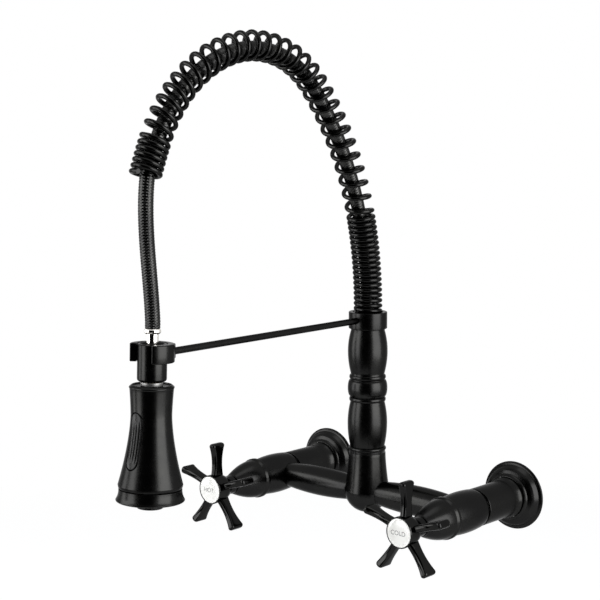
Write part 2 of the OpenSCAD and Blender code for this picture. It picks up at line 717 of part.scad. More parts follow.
module collar_screw() {
    color(steel) on_riser() translate([0, 0, collar_foot + 4]) rotate([-90, 0, 0]) difference() {
        hole(1.5, riser_thread_d / 2 + 0.02, collar_d / 2 - 0.6);
        translate([0, 0, collar_d / 2 - 2]) cylinder(d = 1.7, h = 3, $fn = 6);
    }
}
// Radius of what fits inside the hose's many-sided bore
hose_nipple_r = hose_bore / 2 * cos(180 / hose_sides) - fit_gap;
module hose_adapter() {
    crimp_r = hose_d / 2 + free_gap;
    color(brass) on_riser() difference() {
        union() {
            hole(riser_bore / 2 - fit_gap, riser_top - 10, riser_top);
            hole(riser_thread_d / 2 - 0.6, riser_top, spring_seat);
            hole(hose_nipple_r, spring_seat, spring_seat + 7);
            ring(crimp_r, crimp_r + 1.2, spring_seat - 0.5, spring_seat + 10);
        }
        hole(hose_nipple_r - 0.8, riser_top - 11, spring_seat + 8);
    }
}
module support_rod() {
    color(black) translate([0, -rod_root, rod_h]) rotate([90, 0, 0])
        cylinder(d = rod_d, h = rod_tip - rod_root);
}

// ---------------------------------------------------------------- holder
clip_back = clip_d / 2 + 1.2;
clip_boss_w = 14;
clip_screw_y = clip_back - 2.3 - head_reach;
clip_foot = nut_top + 0.2 - clip_h;
module holder_clip() {
    half = clip_mouth / 2;
    edge = 1.5;
    far = clip_d;
    color(black) difference() {
        union() {
            on_head() translate([0, 0, clip_foot]) cylinder(d = clip_d, h = clip_h);
            translate([0, -head_reach, rod_h + clip_foot + 1]) linear_extrude(clip_h - 2) polygon([
                [-clip_boss_w / 2, 0], [clip_boss_w / 2, 0], [clip_boss_w / 2, clip_back - edge],
                [clip_boss_w / 2 - edge, clip_back], [edge - clip_boss_w / 2, clip_back],
                [-clip_boss_w / 2, clip_back - edge]]);
        }
        on_head() translate([0, 0, clip_foot - 2]) linear_extrude(clip_h + 4) union() {
            circle(r = clip_bore_r);
            polygon([[0, 0], [-far * sin(half), -far * cos(half)], [-far * sin(half), -far],
                [far * sin(half), -far], [far * sin(half), -far * cos(half)]]);
        }
        translate([0, -rod_tip, rod_h]) rotate([-90, 0, 0]) cylinder(d = rod_d + 2 * fit_gap, h = clip_d);
        translate([0, clip_screw_y, rod_h]) cylinder(r = 1.55, h = clip_h);
    }
}
module clip_screw() {
    color(steel) translate([0, clip_screw_y, rod_h + rod_d / 2 + 0.05]) difference() {
        cylinder(r = 1.5, h = 4);
        translate([0, 0, 2]) cylinder(d = 1.7, h = 3, $fn = 6);
    }
}

// ---------------------------------------------------------------- spring and hose
module arch_spring() {
    outs = concat([[0, -1, 0], [0, -1, 0]],
        [for (k = [0:curl_steps]) let (s = curl_s(k / rings_per_curl))
            curl_line[k] - round_course(s, 0, 0)],
        [curl_line[curl_steps] - round_course(course_l, 0, 0)]);
    color(black) swept(spring_line, outs, wire_d / 2, wire_sides);
}
// The hose starts on the riser's axis and comes to lie against the inner side of the arch
hose_shift = (spring_d - hose_d) / 2 - wire_d - 0.7;
arch_rings = 40;
tail_top = 19.2;
function head_point(w) = [0, w * sin(head_lean) - head_reach, w * cos(head_lean) + rod_h];
// The free hose hangs from the spring's end to just above its tail
free_rings = 10;
arch_foot = round_course(course_l, 180, hose_shift);
hose_end = head_point(tail_top + 5);
hose_line = concat([[0, -bridge_reach, spring_seat]],
    [for (i = [0:arch_rings]) let (s = course_l * i / arch_rings)
        round_course(s, 180, hose_shift * min(1, s / 120))],
    [for (i = [1:free_rings]) let (t = i / (free_rings + 1))
        arch_foot + t * (hose_end - arch_foot) - [0, hose_bow * 27 / 4 * t * pow(1 - t, 2), 0]],
    [hose_end, head_point(tail_top)]);
arch_end = arch_rings + 1;
module arch_hose() {
    color(rubber) swept_tube(hose_line, 0, arch_end, hose_d / 2, hose_bore / 2, hose_sides);
}
module free_hose() {
    color(rubber) swept_tube(hose_line, arch_end, len(hose_line) - 1, hose_d / 2, hose_bore / 2, hose_sides);
}

// ---------------------------------------------------------------- swivel nut and hose tail
tail_nut_seat = nut_top - nut_cap;
module hose_tailstock() {
    r = tailstock_d / 2;
    bead = hose_d / 2 + 0.65;
    color(steel) on_head() difference() {
        rotate_extrude() polygon(concat(
            [[0, tail_nut_seat - 2.3], [r + 1.9, tail_nut_seat - 2.3], [r + 1.9, tail_nut_seat - 0.1],
                [r, tail_nut_seat - 0.1]],
            bead_points(tail_top - 4.2, tail_top, r, bead),
            [[0, tail_top]]));
        hole(hose_bore / 2 - 0.6, tail_nut_seat - 3, tail_top + 1);
    }
}
stud_head_d = 16.2;
stud_top = tail_nut_seat - 4.05;
module swivel_nut() {
    r = nut_d / 2;
    bore = tailstock_d / 2 + fit_gap;
    cavity = stud_head_d / 2 + running_gap;
    thread = stud_head_d / 2 + 1;
    color(black) on_head() rotate_extrude() polygon(concat(
        [[thread, nut_foot], [r - 2, nut_foot]],
        [for (i = [1:4]) [r - 2 + 2 * sin(90 * i / 4), nut_foot + 2 - 2 * cos(90 * i / 4)]],
        [[r, nut_top - 0.7], [r - 0.7, nut_top], [r - 1.6, nut_top], [bore + 0.6, nut_top - 3.8],
            [bore, nut_top - 3.8], [bore, tail_nut_seat], [cavity, tail_nut_seat],
            [cavity, nut_foot + 5.4], [thread, nut_foot + 5.4]]));
}
module hose_washer() {
    color(rubber) on_head()
        ring(hose_bore / 2, stud_head_d / 2 - 0.3, tail_nut_seat - 4, tail_nut_seat - 2.4);
}
module lock_ring() {
    color(brass) on_head()
        ring(6 + running_gap, stud_head_d / 2 + 1 - fit_gap, nut_foot + 0.2, nut_foot + 5.2);
}
module swivel_stud() {
    color(steel) on_head() difference() {
        rotate_extrude() polygon([[0, throat_foot - 13], [6.9, throat_foot - 13], [6.9, throat_foot],
            [throat_d / 2 - 0.4, throat_foot], [throat_d / 2, throat_foot + 0.4],
            [throat_d / 2, nut_foot - 0.7], [throat_d / 2 - 0.4, nut_foot - 0.3], [6, nut_foot - 0.3],
            [6, nut_foot + 5.5], [stud_head_d / 2, nut_foot + 5.5], [stud_head_d / 2, stud_top],
            [0, stud_top]]);
        hole(3.95 + fit_gap, throat_foot - 14, stud_top + 1);
        difference() {
            hole(stud_head_d, nut_foot + 7.5, nut_foot + 7.9 + ring_section);
            hole(stud_head_d / 2 - ring_section, 0 - head_l, nut_top);
        }
    }
}
module stud_ring() {
    color(rubber) on_head()
        o_ring(stud_head_d / 2 - ring_section / 2 + 0.01, nut_foot + 7.7 + ring_section / 2,
            ring_section - 0.02);
}
module check_valve() {
    color(plastic) on_head() difference() {
        hole(3.95, throat_foot - 5, nut_foot + 9);
        hole(2.4, throat_foot - 3, nut_foot + 10);
        for (a = [0:120:240]) rotate(a) translate([1.9, 0, throat_foot - 6]) cylinder(r = 0.8, h = 4);
    }
}

// ---------------------------------------------------------------- spray head
// A window through the front of the head, with straight sides and round ends
module front_slot(w, l, z, depth) {
    translate([0, 0, z]) rotate([90, 0, 0]) linear_extrude(depth) {
        translate([-w / 2, -(l - w) / 2]) square([w, l - w]);
        for (end = [-1, 1]) translate([0, end * (l - w) / 2]) circle(d = w, $fn = 48);
    }
}
module head_shell() {
    thread = 6.9 + fit_gap;
    rim = head_top_d / 2 + 0.4;
    color(black) on_head() difference() {
        rotate_extrude() polygon(concat(
            [[thread, throat_foot], [rim - 2.5, throat_foot], [rim - 2.2, head_top], [rim - 1.7, head_top],
                [rim, head_top - 1.5], [rim, head_neck + 0.6]],
            head_points(head_neck, head_bead, 0, 18),
            [[head_bead_d / 2 - 0.3, head_bead - 1.6], [head_bead_d / 2 - 1.2, shell_foot],
                [head_bead_d / 2 - head_wall - 0.6, shell_foot]],
            head_points(head_bead, plate_foot, head_wall, 14),
            [[thread, plate_foot]]));
        front_slot(rocker_w + 2 * rocker_gap, rocker_l + 2 * rocker_gap, rocker_z, head_bead_d);
        translate([-rocker_w / 2 - 2, -rocker_pin_r, rocker_z]) rotate([0, 90, 0])
            cylinder(d = rocker_pin_d + 2 * fit_gap, h = rocker_w + 4);
    }
}
core_r = 7.9;
skirt_r = head_bead_d / 2 - head_wall - 1.4;
face_r = skirt_r - 0.1;
core_foot = shell_foot - 3.2;
face_top = core_foot - 1;
module head_core() {
    socket_foot = core_top - 10.3;
    throat_r = spool_d / 2 - 0.7;
    channel_x = (core_r + spool_d / 2) / 2;
    color(plastic) on_head() difference() {
        union() {
            rotate_extrude() polygon([[0, core_top], [core_r + 1.4, core_top], [core_r + 1.4, socket_foot],
                [core_r, socket_foot - 2], [core_r, core_flange + 1], [skirt_r + 0.5, core_flange],
                [skirt_r + 0.5, shell_foot - 0.05], [skirt_r, shell_foot - 0.05], [skirt_r, core_foot],
                [skirt_r - 2.4, core_foot], [skirt_r - 2.4, core_flange - 3.6], [0, core_flange - 3.6]]);
            ring(outlet_d / 2, outlet_d / 2 + 1.4, face_top + 1.3, core_flange - 3);
        }
        hole(6.9 + fit_gap, socket_foot, core_top + 1);
        hole(throat_r, core_flange - 5, socket_foot + 1);
        hole(spool_d / 2 + running_gap, rocker_z - spool_l / 2 - 2, rocker_z + spool_l / 2);
        for (side = [-1, 1]) translate([side * channel_x, 0, 0]) hole(1.4, core_flange - 5, socket_foot + 1);
        translate([-peg_d / 2 - 0.4, -core_r - 3, rocker_z - peg_d / 2 - 1.4])
            cube([peg_d + 0.8, core_r + 3, peg_d + 2.8]);
    }
}
module rocker() {
    lug_w = rocker_w - 2;
    color(deep_black) on_head() difference() {
        union() {
            intersection() {
                rotate_extrude() polygon(concat(
                    head_points(head_neck - 5, head_bead, -0.15, 18),
                    head_points(head_bead, head_neck - 5, head_wall, 14)));
                front_slot(rocker_w, rocker_l, rocker_z, head_bead_d);
            }
            translate([-lug_w / 2, -rocker_pin_r, rocker_z]) rotate([0, 90, 0]) cylinder(r = 2, h = lug_w);
            translate([0, -rocker_pin_r, rocker_z]) rotate([-90, 0, 0])
                cylinder(d = peg_d, h = rocker_pin_r - spool_d / 2 + 1.2);
        }
        translate([-rocker_w, -rocker_pin_r, rocker_z]) rotate([0, 90, 0])
            cylinder(d = rocker_pin_d + 2 * running_gap, h = 2 * rocker_w);
    }
}
module rocker_pin() {
    color(steel) on_head() translate([-rocker_w / 2 - 1.9, -rocker_pin_r, rocker_z]) rotate([0, 90, 0])
        cylinder(d = rocker_pin_d, h = rocker_w + 3.8);
}
module diverter_spool() {
    groove = peg_d + 2 * free_gap;
    color(plastic) on_head() difference() {
        hole(spool_d / 2, rocker_z - spool_l / 2, rocker_z + spool_l / 2 - 2);
        difference() {
            hole(spool_d, rocker_z - groove / 2, rocker_z + groove / 2);
            hole(1.4, rocker_z - spool_l, rocker_z + spool_l);
        }
    }
}
module face_ring() {
    thread = skirt_r + fit_gap;
    r = head_mouth_d / 2;
    top = shell_foot - 0.1;
    flare = [for (i = [0:8]) let (t = i / 8) [r - 2.1 + 2.1 * pow(t, 2.5), top + (head_mouth - top) * t]];
    color(black) on_head() rotate_extrude() polygon(concat([[thread, top]], flare,
        [[r - 0.25, head_mouth - 0.6], [r - 1, head_foot], [thread - 1.6, head_foot],
            [thread - 1.6, head_foot + 2.2], [thread, head_foot + 2.2]]));
}
module face_seal() {
    color(rubber) on_head() ring(face_r - 2.2, face_r, face_top, face_top + 0.95);
}
module spray_face() {
    hole_rows = [outlet_d / 2 + 3.2, face_r - 3.4];
    color(rubber) on_head() difference() {
        union() {
            hole(face_r, head_foot + 2.25, face_top);
            for (row = [0, 1], i = [0:nozzles / 2 - 1]) rotate((i + row / 2) * 720 / nozzles)
                translate([hole_rows[row], 0, head_foot + 1.2]) cylinder(r1 = 0.8, r2 = 1.2, h = 1.2);
        }
        hole(outlet_d / 2 + fit_gap, head_foot - 5, face_top + 5);
        for (row = [0, 1], i = [0:nozzles / 2 - 1]) rotate((i + row / 2) * 720 / nozzles)
            translate([hole_rows[row], 0, head_foot]) cylinder(r = 0.4, h = 8);
    }
}
module outlet() {
    r = outlet_d / 2;
    foot = head_foot - 5.3;
    color(black) on_head() rotate_extrude() polygon([[r - 2, foot], [r - 0.5, foot], [r, foot + 0.5],
        [r, face_top + 0.05], [r + 1.5, face_top + 0.05], [r + 1.5, face_top + 1.2],
        [r - 1.2, face_top + 1.2], [r - 1.2, foot + 3], [r - 2, foot + 3]]);
}
module outlet_screen() {
    r = outlet_d / 2 - 1.2 - fit_gap;
    z = head_foot - 0.6;
    color(steel) on_head() difference() {
        hole(r, z, z + 1.2);
        for (x = [-2:2], y = [-2:2]) if (norm([x, y]) < 2.6)
            translate([x * 2.4 - 0.75, y * 2.4 - 0.75, z - 1]) cube([1.5, 1.5, 4]);
    }
}

bridge_body();
wall_flange(HOT);  // hot_wall_flange
wall_flange(COLD);  // cold_wall_flange
tailpiece(HOT);  // hot_tailpiece
tailpiece(COLD);  // cold_tailpiece
union_nut(HOT);  // hot_union_nut
union_nut(COLD);  // cold_union_nut
union_washer(HOT);  // hot_union_washer
union_washer(COLD);  // cold_union_washer
seat_seal(HOT);  // hot_seat_seal
seat_seal(COLD);  // cold_seat_seal
fixed_disc(HOT);  // hot_fixed_disc
fixed_disc(COLD);  // cold_fixed_disc
turning_disc(HOT);  // hot_turning_disc
turning_disc(COLD);  // cold_turning_disc
cartridge(HOT);  // hot_cartridge
cartridge(COLD);  // cold_cartridge
cartridge_ring(HOT);  // hot_cartridge_ring
cartridge_ring(COLD);  // cold_cartridge_ring
stem(HOT);  // hot_stem
stem(COLD);  // cold_stem
bonnet(HOT);  // hot_bonnet
bonnet(COLD);  // cold_bonnet
handle(HOT);  // hot_handle
handle(COLD);  // cold_handle
handle_screw(HOT);  // hot_handle_screw
handle_screw(COLD);  // cold_handle_screw
button(HOT);  // hot_button
button(COLD);  // cold_button
swivel_washer();
spout_screw();
riser();
spigot_rings();
arm_collar();
collar_screw();
hose_adapter();
support_rod();
holder_clip();
clip_screw();
arch_spring();
arch_hose();
free_hose();
hose_tailstock();
swivel_nut();
hose_washer();
lock_ring();
swivel_stud();
stud_ring();
check_valve();
head_shell();
head_core();
rocker();
rocker_pin();
diverter_spool();
face_ring();
face_seal();
spray_face();
outlet();
outlet_screen();
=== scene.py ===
"""Looks for a wall-mounted bridge faucet with a sprung hose arch and a docked spray head."""
import json
import math

import bmesh
import bpy
from mathutils import Matrix, Vector


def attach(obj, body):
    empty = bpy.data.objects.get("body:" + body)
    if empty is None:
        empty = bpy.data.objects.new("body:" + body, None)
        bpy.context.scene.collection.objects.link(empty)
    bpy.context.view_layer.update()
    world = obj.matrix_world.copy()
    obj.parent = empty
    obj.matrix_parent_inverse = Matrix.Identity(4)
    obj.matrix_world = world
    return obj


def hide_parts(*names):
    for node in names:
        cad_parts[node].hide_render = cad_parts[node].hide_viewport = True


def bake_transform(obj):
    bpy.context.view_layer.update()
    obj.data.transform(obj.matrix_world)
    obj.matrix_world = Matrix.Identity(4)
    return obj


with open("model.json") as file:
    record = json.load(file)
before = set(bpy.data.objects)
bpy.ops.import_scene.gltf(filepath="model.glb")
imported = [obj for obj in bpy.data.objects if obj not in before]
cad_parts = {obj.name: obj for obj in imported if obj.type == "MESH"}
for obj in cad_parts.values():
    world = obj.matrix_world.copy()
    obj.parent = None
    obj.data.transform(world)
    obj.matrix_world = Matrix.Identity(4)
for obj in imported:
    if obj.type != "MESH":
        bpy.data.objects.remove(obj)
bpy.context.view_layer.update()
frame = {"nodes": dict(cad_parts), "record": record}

MM = 0.001

# ---------------------------------------------------------------- driving sizes, in millimetres
# Reaches are distances out from the wall, and heights are above the inlets
INLET_HALF = 101.6
BRIDGE_REACH = 71.0
ARM_REACH = 246.9
HEAD_REACH = BRIDGE_REACH + ARM_REACH
HEAD_LEAN = math.radians(2)
# Play between two pieces that meet, and between two that turn in each other
FIT = 0.05
RUNNING = 0.06

# Heights on the riser, from the swivel's seam up
SEAM_H = 34.0
RISER_FOOT = SEAM_H + 2
LOWER_BARREL = RISER_FOOT + 2.8
KNOT = LOWER_BARREL + 38.7
UPPER_BARREL = KNOT + 23
COLLAR_FOOT = UPPER_BARREL + 39
COLLAR_TOP = COLLAR_FOOT + 14
ROD_H = COLLAR_FOOT + 7.5
SPRING_SEAT = COLLAR_FOOT + 10.4

WIRE_D = 3.7
SPRING_D = 24.2
HOSE_D = 11.4
NUT_R = 10.85

WORLD = Matrix.Scale(MM, 4)
SIDES = {"hot": -1, "cold": 1}


def placed(x, y, z, angle=0.0, axis="X"):
    """A frame in millimetres at a place in the world, turned about one axis."""
    return Matrix.Translation((x * MM, y * MM, z * MM)) @ Matrix.Rotation(angle, 4, axis) @ WORLD


def on_valve(side):
    """A valve's own frame: its Z is the distance out from the wall."""
    return placed(SIDES[side] * INLET_HALF, 0, 0, math.pi / 2)


ON_RISER = placed(0, -BRIDGE_REACH, 0)
ON_HEAD = placed(0, -HEAD_REACH, ROD_H, -HEAD_LEAN)


# ---------------------------------------------------------------- camera
# In metres
CAMERA_AT = (0.81511, -1.08127, 0.32742)
CAMERA_AZIMUTH = math.radians(41.41)
CAMERA_ELEVATION = math.radians(7.22)
CAMERA_LENS = 93.78


def linked(name, data):
    """A new object in the scene."""
    item = bpy.data.objects.new(name, data)
    bpy.context.collection.objects.link(item)
    return item


def make_camera():
    a, e = CAMERA_AZIMUTH, CAMERA_ELEVATION
    back = Vector((math.sin(a) * math.cos(e), -math.cos(a) * math.cos(e), math.sin(e)))
    camera = linked("camera", bpy.data.cameras.new("camera"))
    camera.data.sensor_width = 36
    camera.data.lens = CAMERA_LENS
    camera.data.clip_start = 0.05
    camera.data.clip_end = 50
    camera.rotation_mode = "QUATERNION"
    camera.location = CAMERA_AT
    camera.rotation_quaternion = (-back).to_track_quat("-Z", "Y")
    bpy.context.scene.camera = camera


make_camera()


# ---------------------------------------------------------------- materials
# Features per metre of the slow changes in colour and in roughness
COLOUR_SCALE = 35
ROUGH_SCALE = 220
# Depth in metres of a finish's grain and of a brushed metal's lines
GRAIN_DEPTH = 0.0002
LINE_DEPTH = 0.0001


def new_material(name):
    material = bpy.data.materials.new(name)
    material.use_nodes = True
    return material, material.node_tree, material.node_tree.nodes["Principled BSDF"]


def set_inputs(node, values):
    for name, value in values.items():
        node.inputs[name].default_value = value


def noise(tree, scale, detail, stretch=None):
    """A noise texture in object space; scale is in features per metre."""
    coordinates = tree.nodes.new("ShaderNodeTexCoord")
    texture = tree.nodes.new("ShaderNodeTexNoise")
    set_inputs(texture, {"Scale": scale, "Detail": detail})
    source = coordinates.outputs["Object"]
    if stretch:
        mapping = tree.nodes.new("ShaderNodeMapping")
        set_inputs(mapping, {"Scale": stretch})
        tree.links.new(source, mapping.inputs["Vector"])
        source = mapping.outputs["Vector"]
    tree.links.new(source, texture.inputs["Vector"])
    return texture.outputs["Fac"]


def ranged(tree, value, low, high):
    """The middle of a noise's range, spread from low to high."""
    node = tree.nodes.new("ShaderNodeMapRange")
    set_inputs(node, {"From Min": 0.3, "From Max": 0.7, "To Min": low, "To Max": high})
    tree.links.new(value, node.inputs["Value"])
    return node.outputs["Result"]


def blended(tree, value, colour_a, colour_b):
    """Two colours that run into each other with a noise."""
    ramp = tree.nodes.new("ShaderNodeValToRGB")
    first, second = ramp.color_ramp.elements
    first.position, second.position = 0.35, 0.65
    first.color, second.color = (*colour_a, 1), (*colour_b, 1)
    tree.links.new(value, ramp.inputs["Fac"])
    return ramp.outputs["Color"]


def bumped(tree, shader, height, strength, depth):
    bump = tree.nodes.new("ShaderNodeBump")
    set_inputs(bump, {"Strength": strength, "Distance": depth})
    tree.links.new(height, bump.inputs["Height"])
    tree.links.new(bump.outputs["Normal"], shader.inputs["Normal"])


def finish_of(name, colours, rough, grain, bump, metallic=0.0, specular=0.5, edge=1.0,
              coat=0.0, coat_rough=0.1):
    """A finish whose colour and roughness vary gently, with a fine grain in its surface."""
    material, tree, shader = new_material(name)
    tree.links.new(blended(tree, noise(tree, COLOUR_SCALE, 4), *colours), shader.inputs["Base Color"])
    tree.links.new(ranged(tree, noise(tree, ROUGH_SCALE, 3), *rough), shader.inputs["Roughness"])
    bumped(tree, shader, noise(tree, grain, 2), bump, GRAIN_DEPTH)
    set_inputs(shader, {"Metallic": metallic, "Specular IOR Level": specular,
                        "Specular Tint": (edge, edge, edge, 1),
                        "Coat Weight": coat, "Coat Roughness": coat_rough})
    return material


def brushed(name, colours, rough, stretch):
    """Metal with a turned or brushed grain."""
    material, tree, shader = new_material(name)
    lines = noise(tree, 1, 3, stretch)
    tree.links.new(blended(tree, lines, *colours), shader.inputs["Base Color"])
    tree.links.new(ranged(tree, lines, *rough), shader.inputs["Roughness"])
    bumped(tree, shader, lines, 0.06, LINE_DEPTH)
    set_inputs(shader, {"Metallic": 1.0})
    return material


# The two greys of the blackened metal's sheen, and those of the braid
SHEEN = [(0.0125, 0.0125, 0.0125), (0.0155, 0.0155, 0.0150)]
BRAID_SHEEN = [(0.022, 0.022, 0.022), (0.030, 0.030, 0.029)]


def blackened(name, rough, grain, bump, colours=SHEEN):
    """Blackened metal: a faint sheen, held down at the silhouette, and nothing underneath."""
    return finish_of(name, colours, rough, grain, bump, metallic=1.0, edge=0.55)


LOOKS = {
    "black": blackened("satin_black", (0.23, 0.28), 2600, 0.035),
    "gloss_black": blackened("gloss_black", (0.10, 0.14), 1800, 0.02),
    "spring_black": blackened("spring_black", (0.20, 0.25), 2600, 0.035),
    "braid": blackened("braid_black", (0.20, 0.28), 5000, 0.10, BRAID_SHEEN),
    "chrome": finish_of("bright_nickel", [(0.74, 0.72, 0.68), (0.80, 0.78, 0.75)], (0.11, 0.16),
                        900, 0.02, metallic=1.0),
    "satin_metal": brushed("satin_nickel", [(0.17, 0.17, 0.165), (0.23, 0.23, 0.225)],
                           (0.40, 0.50), (40, 40, 2600)),
    "steel": brushed("turned_steel", [(0.52, 0.52, 0.52), (0.62, 0.62, 0.61)],
                     (0.22, 0.34), (900, 900, 900)),
    "brass": brushed("machined_brass", [(0.60, 0.44, 0.20), (0.72, 0.55, 0.28)],
                     (0.22, 0.36), (60, 2600, 60)),
    "porcelain": finish_of("glazed_porcelain", [(0.82, 0.82, 0.79), (0.86, 0.86, 0.83)], (0.10, 0.14),
                           300, 0.03, coat=0.6, coat_rough=0.05),
    "print": finish_of("fired_print", [(0.10, 0.10, 0.10), (0.16, 0.16, 0.16)], (0.25, 0.35), 900, 0.05),
    "ceramic": finish_of("lapped_ceramic", [(0.80, 0.79, 0.74), (0.86, 0.85, 0.80)],
                         (0.18, 0.26), 900, 0.03),
    "rubber": finish_of("moulded_rubber", [(0.010, 0.010, 0.010), (0.018, 0.018, 0.017)],
                        (0.60, 0.75), 2200, 0.20, specular=0.4),
    "plastic": finish_of("natural_plastic", [(0.62, 0.60, 0.54), (0.68, 0.66, 0.60)],
                         (0.35, 0.45), 1500, 0.06),
    "black_plastic": finish_of("moulded_black", [(0.0015, 0.0015, 0.0015), (0.0025, 0.0025, 0.0024)],
                               (0.24, 0.30), 3200, 0.08, specular=0.13),
}


# ---------------------------------------------------------------- mesh building
def make(name, shape, place, look, body, replaces=(), sharp=38):
    """A mesh object from (vertices, faces) in a local frame, riding on a CAD body."""
    mesh = bpy.data.meshes.new(name)
    mesh.from_pydata([place @ Vector(v) for v in shape[0]], [], shape[1])
    work = bmesh.new()
    work.from_mesh(mesh)
    bmesh.ops.remove_doubles(work, verts=work.verts, dist=1e-7)
    bmesh.ops.recalc_face_normals(work, faces=work.faces)
    work.to_mesh(mesh)
    work.free()
    piece = linked(name, mesh)
    dress(piece, look, sharp)
    if body:
        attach(piece, body)
    if replaces:
        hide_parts(*replaces)
    return piece


def dress(piece, look, sharp=38):
    """Gives a piece its material and smooth shading between edges sharper than an angle."""
    piece.data.materials.clear()
    piece.data.materials.append(LOOKS[look])
    piece.data.shade_smooth()
    piece.data.set_sharp_from_angle(angle=math.radians(sharp))


def evaluated(item):
    """A new mesh of an object as it shows, with its modifiers."""
    return bpy.data.meshes.new_from_object(item.evaluated_get(bpy.context.evaluated_depsgraph_get()))


def applied(piece):
    """Turns a piece's modifiers into its own mesh."""
    mesh = evaluated(piece)
    piece.modifiers.clear()
    old, piece.data = piece.data, mesh
    bpy.data.meshes.remove(old)
    return piece


def cut(piece, tool, how):
    """A boolean of two objects, applied; the tool is deleted."""
    modifier = piece.modifiers.new("cut", "BOOLEAN")
    modifier.operation = how
    modifier.solver = "EXACT"
    modifier.object = tool
    applied(piece)
    bpy.data.objects.remove(tool)


def bevelled(piece, width):
    """Rounds a piece's sharp edges in its mesh."""
    modifier = piece.modifiers.new("bevel", "BEVEL")
    modifier.width = width * MM
    modifier.segments = 3
    modifier.limit_method = "ANGLE"
    modifier.angle_limit = math.radians(40)
    return applied(piece)


def circle(r, z, sides):
    """Points round the Z axis."""
    angles = [2 * math.pi * i / sides for i in range(sides)]
    return [(r * math.cos(a), r * math.sin(a), z) for a in angles]


def quarter(steps):
    """The angles of a quarter turn, without its start."""
    return [math.pi / 2 * i / steps for i in range(1, steps + 1)]


def band(a, b, sides):
    """Faces between two rings of points, whose first points are a and b."""
    return [(a + i, a + (i + 1) % sides, b + (i + 1) % sides, b + i) for i in range(sides)]


def tube_faces(rings, sides):
    """The wall and the two flat ends of a tube of rings."""
    wall = [face for k in range(rings - 1) for face in band(k * sides, (k + 1) * sides, sides)]
    return wall + [tuple(range(sides)), tuple(range((rings - 1) * sides, rings * sides))]


def lathe(profile, sides=144):
    """A solid turned from a closed outline of (radius, height)."""
    verts, rings = [], []
    for r, z in profile:
        points = circle(r, z, sides) if r > 1e-6 else [(0, 0, z)]
        rings.append(range(len(verts), len(verts) + len(points)))
        verts += points
    faces = []
    for a, b in zip(rings, rings[1:] + rings[:1]):
        if len(a) == 1 and len(b) == 1:
            continue
        for i in range(sides):
            j = (i + 1) % sides
            corners = [a[i % len(a)], b[i % len(b)], b[j % len(b)], a[j % len(a)]]
            faces.append(tuple(dict.fromkeys(corners)))
    return verts, faces


def rounded(profile, radius, steps=3):
    """The closed outline with each corner off the axis rounded, where its sides leave room."""
    out = []
    for k, point in enumerate(profile):
        here = Vector(point)
        to_a, to_b = Vector(profile[k - 1]) - here, Vector(profile[(k + 1) % len(profile)]) - here
        reach = 0.0
        if min(here.x, to_a.length, to_b.length) > 1e-6:
            turn = math.pi - to_a.angle(to_b)
            if math.radians(12) <= turn < 3.0:
                reach = min(radius * math.tan(turn / 2), 0.45 * to_a.length, 0.45 * to_b.length)
        if reach < 0.01:
            out.append(tuple(here))
            continue
        a, b = here + to_a.normalized() * reach, here + to_b.normalized() * reach
        for i in range(steps + 1):
            t = i / steps
            out.append(tuple(a * (1 - t) ** 2 + here * (2 * t * (1 - t)) + b * t ** 2))
    return out


def barrel(z0, z1, end_r, mid_r, peak, steps=20, far_r=None):
    """The outline of a barrel with a swelling middle; far_r is the radius of its second end."""
    def radius(t):
        u = t / peak if t < peak else (1 - t) / (1 - peak)
        end = far_r if far_r and t > peak else end_r
        return end + (mid_r - end) * (1 - (1 - u) ** 2)
    return [(radius(i / steps), z0 + (z1 - z0) * i / steps) for i in range(steps + 1)]


def bead(z0, z1, root_r, bead_r, steps=14):
    """The outline of a half-round bead."""
    return [(root_r + (bead_r - root_r) * math.sin(math.pi * i / steps),
             z0 + (z1 - z0) * (1 - math.cos(math.pi * i / steps)) / 2) for i in range(steps + 1)]


def sweep(line, radius, sides):
    """A tube along a line of points, with flat ends. radius may be a function of (row, side)."""
    size = radius if callable(radius) else (lambda row, side: radius)
    points = [Vector(p) for p in line]
    verts, across = [], Vector((1, 0, 0))
    for k, p in enumerate(points):
        ahead = points[min(k + 1, len(points) - 1)] - points[max(k - 1, 0)]
        ahead.normalize()
        across = (across - ahead * across.dot(ahead)).normalized()
        up = ahead.cross(across)
        verts += [tuple(p + size(k, i) * (across * x + up * y))
                  for i, (x, y, _) in enumerate(circle(1, 0, sides))]
    return verts, tube_faces(len(points), sides)


def prism(outline, z0, z1):
    """A solid between two heights with one outline of (x, y)."""
    verts = [(x, y, z) for z in (z0, z1) for x, y in outline]
    return verts, tube_faces(2, len(outline))


def smooth_line(points, steps):
    """A Catmull-Rom curve through the points."""
    p = [Vector(q) for q in points]
    p = [2 * p[0] - p[1], *p, 2 * p[-1] - p[-2]]
    out = []
    for a, b, c, d in zip(p, p[1:], p[2:], p[3:]):
        for i in range(steps):
            t = i / steps
            out.append(0.5 * (2 * b + (c - a) * t + (2 * a - 5 * b + 4 * c - d) * t ** 2
                              + (3 * b - a - 3 * c + d) * t ** 3))
    return out + [p[-2]]


# ---------------------------------------------------------------- the arch's course
ARCH_L = 437.0
COURSE_START = SPRING_SEAT + WIRE_D + 2.2
# Length and bend in degrees of each stretch, from straight up over to the front
COURSE = [(share * ARCH_L / 100, bend) for share, bend in
          ((18.3, 15), (11.4, 12), (16.3, 15), (12.1, 34), (11.9, 29), (8, 17), (16, 34), (6, 4))]
COURSE_L = sum(length for length, _ in COURSE)
# The spring's curls: length along the arch and number of curls
CURL_ROWS = [(share * ARCH_L / 100, count) for share, count in
             ((18.5, 18.5), (27.7, 10), (36.6, 14), (11.2, 5), (6, 6))]
CURLS = sum(count for _, count in CURL_ROWS)


